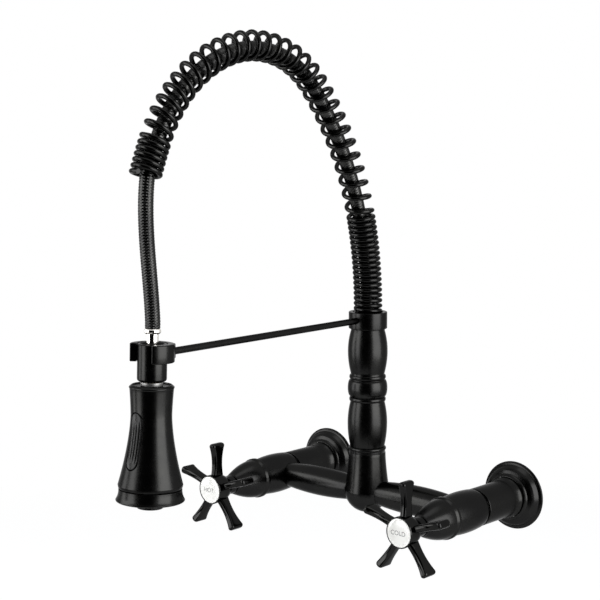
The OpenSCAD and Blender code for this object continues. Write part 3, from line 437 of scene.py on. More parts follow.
def course_at(s):
    """(Y, Z, heading) at a length along the arch, from its start."""
    y = z = heading = 0.0
    for k, (length, bend) in enumerate(COURSE):
        bend = math.radians(bend)
        radius = length / bend
        step = s if k == len(COURSE) - 1 else min(s, length)
        turn = bend * step / length
        y -= radius * (math.cos(heading) - math.cos(heading + turn))
        z += radius * (math.sin(heading + turn) - math.sin(heading))
        heading += turn
        s -= step
        if s <= 0:
            break
    return y, z, heading


def round_course(s, angle, radius):
    """A point round the arch, in world millimetres; angle 0 is the outer side."""
    y, z, heading = course_at(s)
    return Vector((radius * math.sin(angle),
                   y - BRIDGE_REACH + radius * math.cos(angle) * math.cos(heading),
                   z + COURSE_START + radius * math.cos(angle) * math.sin(heading)))


def curl_length(turns):
    """Length along the arch at which a curl begins."""
    s = 0.0
    for k, (length, count) in enumerate(CURL_ROWS):
        if k == len(CURL_ROWS) - 1 or turns <= count:
            return s + length * turns / count
        s, turns = s + length, turns - count


# ---------------------------------------------------------------- hose
# How far the hose lies from the spring's middle, towards the inner side of the arch
HOSE_SHIFT = (SPRING_D - HOSE_D) / 2 - WIRE_D - 0.7
# Length over which it moves there from the riser's axis
SHIFT_L = 120
# How far the free hose bows out on its way down
HOSE_BOW = 2.9
# Top of the hose's chrome tail, on the spray head's axis above the rod
TAIL_TOP = 19.2
BRAID_STRANDS = 7
BRAID_PITCH = 14.5
# Depth of the weave on the free hose, and in the arch, where it is pulled flatter
BRAID_RISE = 0.6
TIGHT_RISE = 0.25


def head_point(w):
    """A point on the spray head's axis, in world millimetres."""
    return Vector((0, w * math.sin(HEAD_LEAN) - HEAD_REACH, w * math.cos(HEAD_LEAN) + ROD_H))


def arch_hose_line(step):
    count = round(COURSE_L / step)
    lengths = [COURSE_L * i / count for i in range(count + 1)]
    return ([Vector((0, -BRIDGE_REACH, SPRING_SEAT))]
            + [round_course(s, math.pi, HOSE_SHIFT * min(1, s / SHIFT_L)) for s in lengths])


def free_hose_points():
    start, end = round_course(COURSE_L, math.pi, HOSE_SHIFT), head_point(TAIL_TOP + 5)
    rows = []
    for i in range(12):
        t = i / 11
        # t (1 - t)^2 is 4/27 at its highest
        bow = HOSE_BOW * 27 / 4 * t * (1 - t) ** 2
        rows.append(start + t * (end - start) - Vector((0, bow, 0)))
    return rows + [head_point(TAIL_TOP)]


def braid_height(along, turn):
    """Height of the woven braid, 0 to 1, at a length along the hose and a share of a turn round it."""
    a = (along / BRAID_PITCH + turn) * BRAID_STRANDS
    b = (along / BRAID_PITCH - turn) * BRAID_STRANDS
    upper = (math.floor(a) + math.floor(b)) % 2 == 0
    across, along_strand = (a % 1, b % 1) if upper else (b % 1, a % 1)
    return math.sin(math.pi * across) ** 0.6 * (0.55 + 0.45 * math.sin(math.pi * along_strand))


def braided(line, sides, rise):
    """A braided hose along a line of close points; rise is the depth of its weave."""
    lengths = [0.0]
    for a, b in zip(line, line[1:]):
        lengths.append(lengths[-1] + (b - a).length)
    root = HOSE_D / 2 - rise

    def radius(row, side):
        return root + rise * braid_height(lengths[row], side / sides)
    return sweep(line, radius, sides)


def make_hoses():
    make("arch_hose_braid", braided(arch_hose_line(0.6), 80, TIGHT_RISE), WORLD, "braid", "spout",
         ["arch_hose"], sharp=80)
    points = free_hose_points()
    line = smooth_line(points, 24)
    hose = make("free_hose_braid", braided(line, 100, BRAID_RISE), WORLD, "braid", None,
                ["free_hose"], sharp=80)
    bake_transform(hose)


make_hoses()


# ---------------------------------------------------------------- spring
def make_spring():
    """The wire: one closed curl on the seat, the curls along the arch and a short straight tip."""
    steps = 28
    radius = (SPRING_D - WIRE_D) / 2
    # The CAD's wire ends on an eighth of a curl, and so does this one
    count = math.floor(CURLS * 8) * steps // 8
    low = SPRING_SEAT + WIRE_D / 2 + FIT
    closed = [round_course(0, math.pi + 2 * math.pi * k / steps, radius)
              + Vector((0, 0, (low - COURSE_START) * -k / steps)) for k in range(-steps, 0)]
    curls = [round_course(curl_length(k / steps), math.pi + 2 * math.pi * k / steps, radius)
             for k in range(count + 1)]
    tip = curls[-1] + (curls[-1] - curls[-2]).normalized() * WIRE_D
    make("arch_spring_wire", sweep(closed + curls + [tip], WIRE_D / 2, 16), WORLD, "spring_black",
         "spout", ["arch_spring"], sharp=50)


make_spring()


# ---------------------------------------------------------------- valves
# Places along a valve, as distances out from the wall
UNION_BACK = 9.5
FLANGE_FRONT = 12.0
NECK_START = 14.0
NECK_END = 21.0
TAIL_SHOULDER = 40.5
TAIL_END = 43.5
SEAT_BACK = TAIL_END + 2
SEAM = 57.5
CARTRIDGE_SEAT = BRIDGE_REACH - 9
VALVE_END = SEAM + 41
CHAMBER_END = VALVE_END + 10.5
GLAND_END = CHAMBER_END + 3
NOSE_END = VALVE_END + 33

# Radii
FLANGE_R = 28.65
SLEEVE_R = 15.6
SLEEVE_NECK_R = 17.0
VALVE_BACK_R = 15.7
VALVE_R = 17.0
VALVE_NECK_R = 14.9
BONNET_R = 17.2
NOSE_R = 8.6
WATER_R = 6.5
TAIL_R = 10.1
CARTRIDGE_R = 10.0
BODY_THREAD_R = 13.2
STEM_BORE_R = 5.4
INLET_THREAD_R = 10.4775
THREAD_PITCH = 1.814

# The dark seam between sleeve and valve: its width and depth, and the drop and the length of the
# valve's rounded back edge
SEAM_GROOVE = 0.9
SEAM_DEPTH = 1.5
EDGE_DROP = 1.2
EDGE_L = 4.5


def make_flange(side):
    """The stepped shell on the wall, as (radius, distance from the wall) from its rim inwards."""
    bore = SLEEVE_NECK_R + FIT
    outer = [(FLANGE_R, 0), (FLANGE_R, 1.6), (27.5, 2.5), (26.0, 2.8), (25.5, 3.8), (24.9, 5.0),
             (24.3, 6.4), (23.5, 7.3), (22.4, 8.3), (21.2, 8.9), (20.0, 9.4), (19.4, 9.7), (19.0, 10.6),
             (18.4, 11.3), (17.7, FLANGE_FRONT), (bore, FLANGE_FRONT)]
    inner = [(bore, 10.4), (19.2, 8.4), (22.2, 6.4), (23.9, 3.4), (26.0, 1.2), (27.0, 0)]
    make(side + "_flange_shell", lathe(rounded(outer + inner, 0.7)), on_valve(side), "black", "bridge",
         [side + "_wall_flange"])


def make_union(side):
    """The union nut: a smooth sleeve with a flared neck in the flange."""
    steps, hollow, flare = 12, 13.6, SLEEVE_NECK_R - SLEEVE_R
    thread, tail = BODY_THREAD_R + FIT, TAIL_R + FIT
    root, groove = SLEEVE_R - SEAM_DEPTH, SEAM - SEAM_GROOVE / 2
    outer = [(15.0, UNION_BACK), (SLEEVE_NECK_R, UNION_BACK)]
    outer += [(SLEEVE_R + flare * (1 - i / steps) ** 2, NECK_START + (NECK_END - NECK_START) * i / steps)
              for i in range(steps + 1)]
    outer += [(SLEEVE_R, SEAM - 0.9), (SLEEVE_R - 0.3, groove), (root, groove), (root, SEAM - 0.1)]
    inner = [(thread, SEAM - 0.1), (thread, TAIL_SHOULDER - FIT), (tail, TAIL_SHOULDER - FIT),
             (tail, TAIL_SHOULDER - 4 - FIT), (hollow, TAIL_SHOULDER - 7 - FIT), (hollow, NECK_END),
             (15.0, NECK_START)]
    make(side + "_union_sleeve", lathe(rounded(outer + inner, 0.5)), on_valve(side), "black", "bridge",
         [side + "_union_nut"])


def make_bonnet(side):
    """The domed cover with its rim and its nose."""
    steps, foot, top = 20, VALVE_END + 5.5, NOSE_END - 1.4
    bore, gland_r = BODY_THREAD_R + FIT, 7.7
    rim = [(bore, VALVE_END + FIT), (BONNET_R - 0.9, VALVE_END + FIT), (BONNET_R, VALVE_END + 1),
           (BONNET_R, VALVE_END + 3.5), (BONNET_R - 0.6, VALVE_END + 4.5)]
    dome = []
    for i in range(steps + 1):
        t = i / steps
        swell = math.cos(math.pi / 2 * t) ** 0.9 if t < 1 else 0
        dome.append((NOSE_R + (BONNET_R - 1 - NOSE_R) * swell * (1 - 0.12 * t), foot + (top - foot) * t))
    nose = [(NOSE_R, NOSE_END - 0.6), (NOSE_R - 0.6, NOSE_END), (STEM_BORE_R, NOSE_END),
            (STEM_BORE_R, NOSE_END - 6), (gland_r, NOSE_END - 10), (gland_r, GLAND_END + FIT),
            (bore, GLAND_END + FIT)]
    make(side + "_bonnet_dome", lathe(rounded(rim + dome + nose, 0.5)), on_valve(side), "black",
         "bridge", [side + "_bonnet"])


def make_tailpiece(side):
    """The inlet's tail with its thread cut as a true helix."""
    sides, rows = 72, 112
    length, depth = 14.0, 1.1
    head_r = TAIL_R + 2.6
    verts, faces = [], []
    for k in range(rows + 1):
        z = -length + length * k / rows
        fade = min(1.0, (z + length) / 1.2, -z / 1.5)
        for i, (x, y, _) in enumerate(circle(1, z, sides)):
            phase = (z / THREAD_PITCH + i / sides) % 1
            r = INLET_THREAD_R - depth * abs(2 * phase - 1) * max(0.0, fade) - 0.25 * (fade < 0.3)
            verts.append((r * x, r * y, z))
    profile = [(TAIL_R, 0), (TAIL_R, TAIL_SHOULDER), (head_r, TAIL_SHOULDER), (head_r, TAIL_END),
               (WATER_R, TAIL_END), (WATER_R, -length)]
    for r, z in profile:
        verts += circle(r, z, sides)
    rings = rows + 1 + len(profile)
    for k in range(rings):
        faces += band(k * sides, (k + 1) % rings * sides, sides)
    make(side + "_inlet_tail", (verts, faces), on_valve(side), "brass", "bridge",
         [side + "_tailpiece"], sharp=50)


# ---------------------------------------------------------------- handles
HUB_R = 12.4
HUB_FRONT = NOSE_END + 26.7
HUB_BACK = HUB_FRONT - 15
SKIRT_R = 8.0
BROACH_R = 3.9
STEM_END = HUB_FRONT - 12
SPOKES = 5
SPOKE_REACH = 39.0
SPOKE_CENTRE = HUB_BACK + 5.7
# A spoke's thickness at the hub and at its tip, and its depth at the hub, at the waist and at the tip
SPOKE_T, SPOKE_TIP_T = 5.6, 6.6
SPOKE_ROOT, SPOKE_WAIST, SPOKE_TIP = 12.0, 9.2, 15.0
# Radius of its long edges and of its tip
SPOKE_EDGE = 2.1
TIP_ROUND = 2.7
BUTTON_R = 11.45
BUTTON_SEAT = HUB_FRONT - 3.4
BUTTON_RIM = HUB_FRONT - 0.6
BUTTON_CROWN = 1.4


def spoke_size(x, inset):
    """Half the thickness and half the depth of a spoke at a distance from the hub's axis."""
    waist = SPOKE_REACH * 0.58
    end, span = (SPOKE_ROOT, HUB_R - 3.4) if x < waist else (SPOKE_TIP, SPOKE_REACH - 0.8)
    share = (x - waist) / (span - waist)
    flare = max(0.0, x / SPOKE_REACH - 0.5) * 2
    half_t = (SPOKE_T + (SPOKE_TIP_T - SPOKE_T) * flare) / 2 - inset * 0.8
    half_d = (SPOKE_WAIST + (end - SPOKE_WAIST) * share * share) / 2 - inset
    return half_t, half_d


def spoke(turn):
    """One spoke, lofted outwards from inside the hub through rounded sections."""
    root, steps, ring = 8.0, 16, 6
    straight = SPOKE_REACH - TIP_ROUND - root
    sections = [(root + straight * k / steps, 0.0) for k in range(steps + 1)]
    sections += [(SPOKE_REACH - TIP_ROUND * (1 - math.sin(a)), TIP_ROUND * (1 - math.cos(a)))
                 for a in quarter(6)]
    verts = []
    for x, inset in sections:
        half_t, half_d = spoke_size(x, inset)
        r = min(SPOKE_EDGE, half_t * 0.9)
        for corner, (sx, sy) in enumerate([(1, 1), (-1, 1), (-1, -1), (1, -1)]):
            for i in range(ring + 1):
                a = math.pi / 2 * (corner + i / ring)
                across = sx * (half_t - r) + r * math.cos(a)
                depth = sy * (half_d - r) + r * math.sin(a)
                verts.append(Matrix.Rotation(turn, 3, "Z") @ Vector((x, across, SPOKE_CENTRE + depth)))
    return verts, tube_faces(len(sections), 4 * (ring + 1))


def make_handle(side):
    """The hub with its skirt and its five spokes, and the porcelain button in its front."""
    place, body = on_valve(side), side + "_tap"
    throat, steps = SKIRT_R + 0.6, 12
    hub = [(0, STEM_END + 0.1), (BROACH_R, STEM_END + 0.1), (BROACH_R, NOSE_END + 0.5),
           (SKIRT_R, NOSE_END + 0.5), (SKIRT_R, HUB_BACK - 5)]
    hub += [(throat + (HUB_R - throat) * math.sin(a), HUB_BACK - 4 + 11 * i / steps)
            for i, a in enumerate([0] + quarter(steps))]
    hub += [(HUB_R, HUB_FRONT - 0.7), (HUB_R - 0.4, HUB_FRONT), (BUTTON_R + 0.15, HUB_FRONT),
            (BUTTON_R + FIT, BUTTON_SEAT), (0, BUTTON_SEAT)]
    handle = make(side + "_handle_cross", lathe(rounded(hub, 0.6, 4), 120), place, "gloss_black", None)
    for k in range(SPOKES):
        arm = make("spoke", spoke(math.radians(90 + 360 / SPOKES * k)), place, "gloss_black", None)
        cut(handle, arm, "UNION")
    dress(handle, "gloss_black", 32)
    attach(handle, body)
    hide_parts(side + "_handle")
    dome = [(0, BUTTON_SEAT + FIT), (BUTTON_R, BUTTON_SEAT + FIT), (BUTTON_R, BUTTON_RIM)]
    dome += [(BUTTON_R * max(0.0, math.cos(a)) ** 0.45, BUTTON_RIM + BUTTON_CROWN * math.sin(a))
             for a in quarter(12)]
    make(side + "_button_glaze", lathe(dome, 96), place, "porcelain", body,
         [side + "_button"], sharp=60)


def make_legend(side):
    """The plain word on a button, as thin raised print."""
    curve = bpy.data.curves.new(side + "_legend", "FONT")
    curve.body = side.upper()
    curve.size = 5.2
    curve.align_x = "CENTER"
    curve.align_y = "CENTER"
    curve.extrude = 0.04
    text = linked(side + "_legend", curve)
    mesh = evaluated(text)
    bpy.data.objects.remove(text)
    mesh.transform(on_valve(side) @ Matrix.Translation((0, 0, BUTTON_RIM + BUTTON_CROWN - 0.01)))
    legend = linked(side + "_legend", mesh)
    dress(legend, "print")
    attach(legend, side + "_tap")


for side in SIDES:
    make_flange(side)
    make_union(side)
    make_bonnet(side)
    make_tailpiece(side)
    make_handle(side)
    make_legend(side)


# ---------------------------------------------------------------- bridge
ARM_R, ARM_MID_R = 10.3, 12.5
FOOT_R = 19.0
FOOT_TOP_R = 15.5
# Height of the middle of the foot's rounded end
FOOT_Z = 1.0
SPIGOT_R = 10.95
SPIGOT_FOOT = RISER_FOOT - 21


def bridge_foot():
    """The outline of the foot: half a ball, and a tapering socket for the riser's spigot."""
    steps, bore = 12, SPIGOT_R + RUNNING
    outline = [(0, FOOT_Z - FOOT_R)]
    outline += [(FOOT_R * math.sin(a), FOOT_Z - FOOT_R * math.cos(a)) for a in quarter(steps)]
    outline += [(FOOT_TOP_R + (FOOT_R - FOOT_TOP_R) * (1 - i / steps) ** 1.5,
                 FOOT_Z + (SEAM_H - FOOT_Z) * i / steps) for i in range(1, steps + 1)]
    return outline + [(bore, SEAM_H), (bore, SPIGOT_FOOT - 1), (0, SPIGOT_FOOT - 1)]


def valve_body():
    """The outline of a valve body, from the bore of its inlet round to the cartridge's seat."""
    groove_r, groove_end = VALVE_BACK_R - SEAM_DEPTH, SEAM + SEAM_GROOVE / 2
    outline = [(WATER_R, SEAT_BACK), (BODY_THREAD_R, SEAT_BACK), (BODY_THREAD_R, SEAM),
               (groove_r, SEAM), (groove_r, groove_end)]
    # The back edge is rounded off, so that it turns dark where it meets the sleeve
    outline += [(r - EDGE_DROP * max(0.0, 1 - (z - SEAM) / EDGE_L) ** 2, z) for r, z in
                barrel(SEAM + 0.8, VALVE_END, VALVE_BACK_R, VALVE_R, 0.45, 28, far_r=VALVE_NECK_R)]
    return outline + [(BODY_THREAD_R, VALVE_END), (BODY_THREAD_R, CHAMBER_END),
                      (CARTRIDGE_R, CHAMBER_END), (CARTRIDGE_R, CARTRIDGE_SEAT),
                      (WATER_R, CARTRIDGE_SEAT)]


def make_bridge():
    """The two valve bodies, the cross tube and the riser's foot, joined as one casting."""
    body = make("bridge_casting", lathe(rounded(bridge_foot(), 0.4)), ON_RISER, "black", None)
    across = placed(0, -BRIDGE_REACH, 0, math.pi / 2, "Y")
    near, far = FOOT_R - 2, INLET_HALF - VALVE_R + 1.5
    tube = [(0, -INLET_HALF), (ARM_R, -INLET_HALF), *barrel(-far, -near, ARM_R, ARM_MID_R, 0.5),
            *barrel(near, far, ARM_R, ARM_MID_R, 0.5), (ARM_R, INLET_HALF), (0, INLET_HALF)]
    cut(body, make("tube", lathe(tube, 96), across, "black", None), "UNION")
    for side in SIDES:
        valve = make("valve", lathe(rounded(valve_body(), 0.4)), on_valve(side), "black", None)
        cut(body, valve, "UNION")
    dress(body, "black", 32)
    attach(body, "bridge")
    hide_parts("bridge_body")


make_bridge()


# ---------------------------------------------------------------- riser and arm
# The riser's radius at its necks, at its beads and in the middle of its barrels
RISER_NECK_R, RISER_RING_R, RISER_MID_R = 14.4, 15.4, 16.7
RISER_BORE_R = 8.1
RISER_THREAD_R = 11.0
COLLAR_R = 16.15
# The cup in the collar, in which the spring stands
CUP_R = SPRING_D / 2 + 0.4
ROD_R = 2.7
ROD_ROOT = BRIDGE_REACH + CUP_R + 0.6
ROD_TIP = HEAD_REACH - 12.75


def make_riser():
    """The turned riser: foot bead, barrel, ball between two beads, barrel and the neck in the collar."""
    neck, ring, mid = RISER_NECK_R, RISER_RING_R, RISER_MID_R
    ball_0, ball_1 = KNOT + 4.6, KNOT + 18.4
    top, thread = SPRING_SEAT - 4, RISER_THREAD_R
    profile = [(RISER_BORE_R, SPIGOT_FOOT), (SPIGOT_R - 0.6, SPIGOT_FOOT), (SPIGOT_R, SPIGOT_FOOT + 0.6),
               (SPIGOT_R, RISER_FOOT)]
    profile += bead(RISER_FOOT, LOWER_BARREL, neck + 0.5, ring + 0.5)
    profile += barrel(LOWER_BARREL, KNOT, neck, mid, 0.52)
    profile += bead(KNOT + 0.2, ball_0 - 0.8, neck, ring)
    profile += bead(ball_0, ball_1, neck + 0.4, mid, 20)
    profile += bead(ball_1 + 0.8, UPPER_BARREL - 0.2, neck, ring)
    profile += barrel(UPPER_BARREL + 0.6, COLLAR_FOOT - 1.6, neck - 0.2, mid, 0.52)
    profile += [(neck, COLLAR_FOOT - FIT), (thread, COLLAR_FOOT - FIT), (thread, top),
                (RISER_BORE_R, top)]
    make("riser_turning", lathe(profile), ON_RISER, "black", "spout", ["riser"], sharp=40)


def make_collar():
    """The arm's collar, with the spring's cup in its top and the rod's hole in its front."""
    bore = RISER_THREAD_R + FIT
    profile = [(bore, COLLAR_FOOT), (COLLAR_R, COLLAR_FOOT), (COLLAR_R, COLLAR_TOP),
               (CUP_R, COLLAR_TOP), (CUP_R, SPRING_SEAT), (bore, SPRING_SEAT)]
    collar = make("arm_collar_ring", lathe(rounded(profile, 0.7, 4)), ON_RISER, "black", None)
    hole_r = ROD_R + FIT
    hole = [(0, 0), (hole_r, 0), (hole_r, 20), (0, 20)]
    place = placed(0, -ROD_ROOT, ROD_H, math.pi / 2)
    cut(collar, make("hole", lathe(hole, 48), place, "black", None), "DIFFERENCE")
    dress(collar, "black", 32)
    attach(collar, "spout")
    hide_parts("arm_collar")


def make_rod():
    """The plain bar from the collar to the holder."""
    length, edge = ROD_TIP - ROD_ROOT, 0.4
    profile = [(0, 0), (ROD_R - edge, 0), (ROD_R, edge), (ROD_R, length - edge), (ROD_R - edge, length),
               (0, length)]
    make("support_rod_bar", lathe(profile, 48), placed(0, -ROD_ROOT, ROD_H, math.pi / 2), "black",
         "spout", ["support_rod"])


def make_clip():
    """The holder: an open ring round the swivel nut, with a block where the rod comes in."""
    inner, outer, foot, height = NUT_R + 0.3, 16.3, -5.3, 13.5
    mouth, steps = math.radians(45), 48
    start, end = -math.pi / 2 + mouth, 3 * math.pi / 2 - mouth
    angles = [start + (end - start) * i / steps for i in range(steps + 1)]
    outline = [(outer * math.cos(a), outer * math.sin(a)) for a in angles]
    outline += [(inner * math.cos(a), inner * math.sin(a)) for a in reversed(angles)]
    clip = make("holder_clip_ring", prism(outline, foot, foot + height), ON_HEAD, "black", None)
    bevelled(clip, 0.8)
    back, half = 17.5, 7.0
    block = prism([(-half, inner + 1), (half, inner + 1), (half, back), (-half, back)],
                  foot + 1, foot + height - 1)
    boss = bevelled(make("boss", block, placed(0, -HEAD_REACH, ROD_H), "black", None), 1.4)
    cut(clip, boss, "UNION")
    dress(clip, "black", 32)
    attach(clip, "spout")
    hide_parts("holder_clip")


make_riser()
make_collar()
make_rod()
make_clip()


# ---------------------------------------------------------------- spray head
# Heights on the spray head's axis, above the rod
NUT_TOP = 8.0
NUT_SEAT = NUT_TOP - 9
NUT_FOOT = NUT_TOP - 27.3
THROAT_FOOT = NUT_FOOT - 3.5
PLATE_FOOT = THROAT_FOOT - 3.7
HEAD_TOP = THROAT_FOOT + 1.1
HEAD_NECK = HEAD_TOP - 2.8
HEAD_WAIST = HEAD_TOP - 22.3
HEAD_FOOT = HEAD_TOP - 85.4
HEAD_MOUTH = HEAD_FOOT + 1.1
HEAD_BEAD = HEAD_MOUTH + 11.1
SHELL_FOOT = HEAD_BEAD - 3
ROCKER_Z = HEAD_TOP - 39.7

TOP_R, WAIST_R, BEAD_R, MOUTH_R = 16.1, 15.05, 23.8, 25.3
WALL = 2.4
SHELL_THREAD_R = BEAD_R - WALL - 1.4
STUD_R = 6.9
STUD_COLLAR_R = 8.15
STUD_HEAD_R = 8.1
TAIL_TUBE_R = 4.53
TAIL_BEAD_R = 6.35
HOSE_BORE_R = 2.7
OUTLET_R = 9.8

ROCKER_W, ROCKER_L = 11.0, 41.0
ROCKER_GAP = 0.5
# The rocker's face: how far it stands out, and its rounded edge, its ridges and its dip
ROCKER_PROUD = 0.15
ROCKER_EDGE = 0.9
RIDGE_PITCH, RIDGE_DEPTH, RIDGE_HALF = 2.6, 0.5, 4.6
DIP_R, DIP_DEPTH = 1.1, 0.35


def head_r(w):
    """Radius of the bell at a height above the rod."""
    if w > HEAD_WAIST:
        return WAIST_R + (TOP_R - WAIST_R) * ((w - HEAD_WAIST) / (HEAD_NECK - HEAD_WAIST)) ** 1.5
    return WAIST_R + (BEAD_R - WAIST_R) * ((HEAD_WAIST - w) / (HEAD_WAIST - HEAD_BEAD)) ** 1.6


def head_line(w0, w1, inset, steps):
    """The bell's outline between two heights, or the line inside it at a distance."""
    heights = [w0 + (w1 - w0) * i / steps for i in range(steps + 1)]
    return [(head_r(w) - inset, w) for w in heights]


def front_slot(width, length):
    """A prism through the front of the head, whose outline is a slot with round ends."""
    steps, r, half = 24, width / 2, (length - width) / 2
    angles = [math.pi * i / steps for i in range(steps + 1)]
    top = [(r * math.cos(a), half + r * math.sin(a)) for a in angles]
    verts, faces = prism(top + [(-x, -y) for x, y in top], 4.0, 40.0)
    return [(x, -z, y + ROCKER_Z) for x, y, z in verts], faces


def make_shell():
    """The bell, hollow, with the slot for the rocker in its front."""
    rim, bore = TOP_R + 0.4, STUD_R + FIT
    profile = [(bore, THROAT_FOOT), (rim - 2.5, THROAT_FOOT), (rim - 2.2, HEAD_TOP),
               (rim - 1.7, HEAD_TOP), (rim, HEAD_TOP - 1.5), (rim, HEAD_NECK + 0.6)]
    profile += head_line(HEAD_NECK, HEAD_BEAD, 0, 40)
    profile += [(BEAD_R - 0.3, HEAD_BEAD - 1.6), (BEAD_R - 1.2, SHELL_FOOT),
                (BEAD_R - WALL - 0.6, SHELL_FOOT)]
    profile += head_line(HEAD_BEAD, PLATE_FOOT, WALL, 20) + [(bore, PLATE_FOOT)]
    shell = make("head_shell_bell", lathe(rounded(profile, 0.45), 160), ON_HEAD, "black", None)
    slot = front_slot(ROCKER_W + 2 * ROCKER_GAP, ROCKER_L + 2 * ROCKER_GAP)
    cut(shell, make("slot", slot, ON_HEAD, "black", None), "DIFFERENCE")
    dress(shell, "black", 32)
    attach(shell, "spray_head")
    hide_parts("head_shell")


def rocker_relief(x, along, edge):
    """How far the rocker's face stands out at a place on it; edge is the distance to its outline."""
    lift = ROCKER_PROUD - ROCKER_EDGE * max(0.0, 1 - edge / ROCKER_EDGE) ** 2
    half = ROCKER_L / 2
    # The ridges run out over 6 mm towards each end
    ends = min(1.0, max(0.0, (half - 4.5 - abs(along + 1.0)) / 6.0))
    if abs(x) < RIDGE_HALF:
        lift -= RIDGE_DEPTH * ends * (0.5 - 0.5 * math.cos(2 * math.pi * x / RIDGE_PITCH)) ** 2
    from_dip = math.hypot(x, along + half - 4.0)
    return lift - DIP_DEPTH * max(0.0, 1 - (from_dip / DIP_R) ** 4)


def make_rocker():
    """A rocker that follows the bell, with fine upright ridges on its face."""
    rows, columns = 150, 60
    half_w, half_l, depth = ROCKER_W / 2, ROCKER_L / 2, 2.2
    front, back = [], []
    for k in range(rows + 1):
        along = half_l * math.sin(math.pi * (k / rows - 0.5))
        past = max(0.0, abs(along) - (half_l - half_w))
        width = math.sqrt(max(half_w ** 2 - past ** 2, 0.0))
        surface = head_r(along + ROCKER_Z)
        for i in range(columns + 1):
            x = width * (2 * i / columns - 1)
            edge = half_w - math.hypot(x, past)
            for row, r in ((front, surface + rocker_relief(x, along, edge)), (back, surface - depth)):
                row.append((x, -math.sqrt(max(r ** 2 - x ** 2, 0)), along + ROCKER_Z))
    step, base = columns + 1, len(front)
    faces = []
    for k in range(rows):
        for i in range(columns):
            a = k * step + i
            faces.append((a, a + 1, a + step + 1, a + step))
            faces.append((base + a, base + a + step, base + a + step + 1, base + a + 1))
        for a, b in ((k * step, (k + 1) * step), ((k + 1) * step + columns, k * step + columns)):
            faces.append((a, b, base + b, base + a))
    make("rocker_button", (front + back, faces), ON_HEAD, "black_plastic", "mode_rocker",
         ["rocker"], sharp=50)


def make_head_rings():
    """The flared ring at the mouth and the outlet under it."""
    thread, top, flare, steps = SHELL_THREAD_R + FIT, SHELL_FOOT - 0.1, 2.1, 16
    ring = [(thread, top)]
    ring += [(MOUTH_R - flare + flare * (i / steps) ** 2.5, top + (HEAD_MOUTH - top) * i / steps)
             for i in range(steps + 1)]
    ring += [(MOUTH_R - 0.25, HEAD_MOUTH - 0.6), (MOUTH_R - 1, HEAD_FOOT), (thread - 1.6, HEAD_FOOT),
             (thread - 1.6, HEAD_FOOT + 2.2), (thread, HEAD_FOOT + 2.2)]
    make("face_ring_turning", lathe(rounded(ring, 0.5)), ON_HEAD, "black", "spray_head",
         ["face_ring"])
    r, foot, top = OUTLET_R, HEAD_FOOT - 5.3, SHELL_FOOT - 4.2
    outlet = [(r - 2, foot), (r - 0.5, foot), (r, foot + 0.5), (r, top + FIT), (r + 1.5, top + FIT),
              (r + 1.5, top + 1.2), (r - 1.2, top + 1.2), (r - 1.2, foot + 3), (r - 2, foot + 3)]
    make("outlet_nozzle", lathe(rounded(outlet, 0.3), 96), ON_HEAD, "black_plastic", "spray_head",
         ["outlet"])


def make_neck():
    """The swivel nut with its rounded foot, and the hose's tail in its top."""
    r, bore, cavity, thread = NUT_R, TAIL_TUBE_R + FIT, STUD_HEAD_R + RUNNING, STUD_HEAD_R + 1
    step, hollow = NUT_TOP - 3.8, NUT_FOOT + 5.4
    nut = [(thread, NUT_FOOT), (r - 2, NUT_FOOT)]
    nut += [(r - 2 + 2 * math.sin(a), NUT_FOOT + 2 - 2 * math.cos(a)) for a in quarter(8)]
    nut += [(r, NUT_TOP - 0.7), (r - 0.7, NUT_TOP), (r - 1.6, NUT_TOP), (bore + 0.6, step), (bore, step),
            (bore, NUT_SEAT), (cavity, NUT_SEAT), (cavity, hollow), (thread, hollow)]
    make("swivel_nut_turning", lathe(rounded(nut, 0.4), 120), ON_HEAD, "black", "spray_neck",
         ["swivel_nut"])
    flange_r, flange_foot, flange_top = TAIL_TUBE_R + 1.9, NUT_SEAT - 2.3, NUT_SEAT - 0.1
    tail = [(HOSE_BORE_R, flange_foot), (flange_r, flange_foot), (flange_r, flange_top),
            (TAIL_TUBE_R, flange_top)]
    tail += bead(TAIL_TOP - 4.2, TAIL_TOP, TAIL_TUBE_R, TAIL_BEAD_R) + [(HOSE_BORE_R, TAIL_TOP)]
    make("hose_tail_ferrule", lathe(tail, 96), ON_HEAD, "chrome", "spray_neck",
         ["hose_tailstock"])


def make_stud():
    """The swivel stud, whose satin collar shows between the nut and the bell."""
    foot, top, bore = THROAT_FOOT - 13, NUT_SEAT - 4.05, 4.0
    r, neck, edge = STUD_COLLAR_R, 6.0, 0.4
    stud = [(bore, foot), (STUD_R, foot), (STUD_R, THROAT_FOOT), (r - edge, THROAT_FOOT),
            (r, THROAT_FOOT + edge), (r, NUT_FOOT - 0.3 - edge), (r - edge, NUT_FOOT - 0.3),
            (neck, NUT_FOOT - 0.3), (neck, NUT_FOOT + 5.5), (STUD_HEAD_R, NUT_FOOT + 5.5),
            (STUD_HEAD_R, top), (bore, top)]
    make("swivel_stud_turning", lathe(rounded(stud, 0.25), 120), ON_HEAD, "satin_metal", "spray_head",
         ["swivel_stud"])


make_shell()
make_rocker()
make_head_rings()
make_neck()
make_stud()


# ---------------------------------------------------------------- CAD nodes that stay
# The other material slots have a look of their own name
SLOT_LOOKS = {"bright_metal": "chrome", "hose_braid": "braid", "disc_ceramic": "ceramic"}
# The adapter is blackened, since its top shows between the spring's lowest curls
NODE_LOOKS = {"hose_adapter": "black"}
for row in frame["record"]["subparts"]:
    node, slot = frame["nodes"][row["node"]], row["material_slot"]
    look = NODE_LOOKS.get(row["node"], SLOT_LOOKS.get(slot, slot))
    node.data.materials.clear()
    node.data.materials.append(LOOKS[look])


# ---------------------------------------------------------------- floor, light and background
# From here on, places are in metres
CENTRE = (0, -0.18, 0.15)
LAMP_AIM = (0, -0.18, 0.30)
FLOOR_Z = -0.42
FLOOR_SIZE = 12
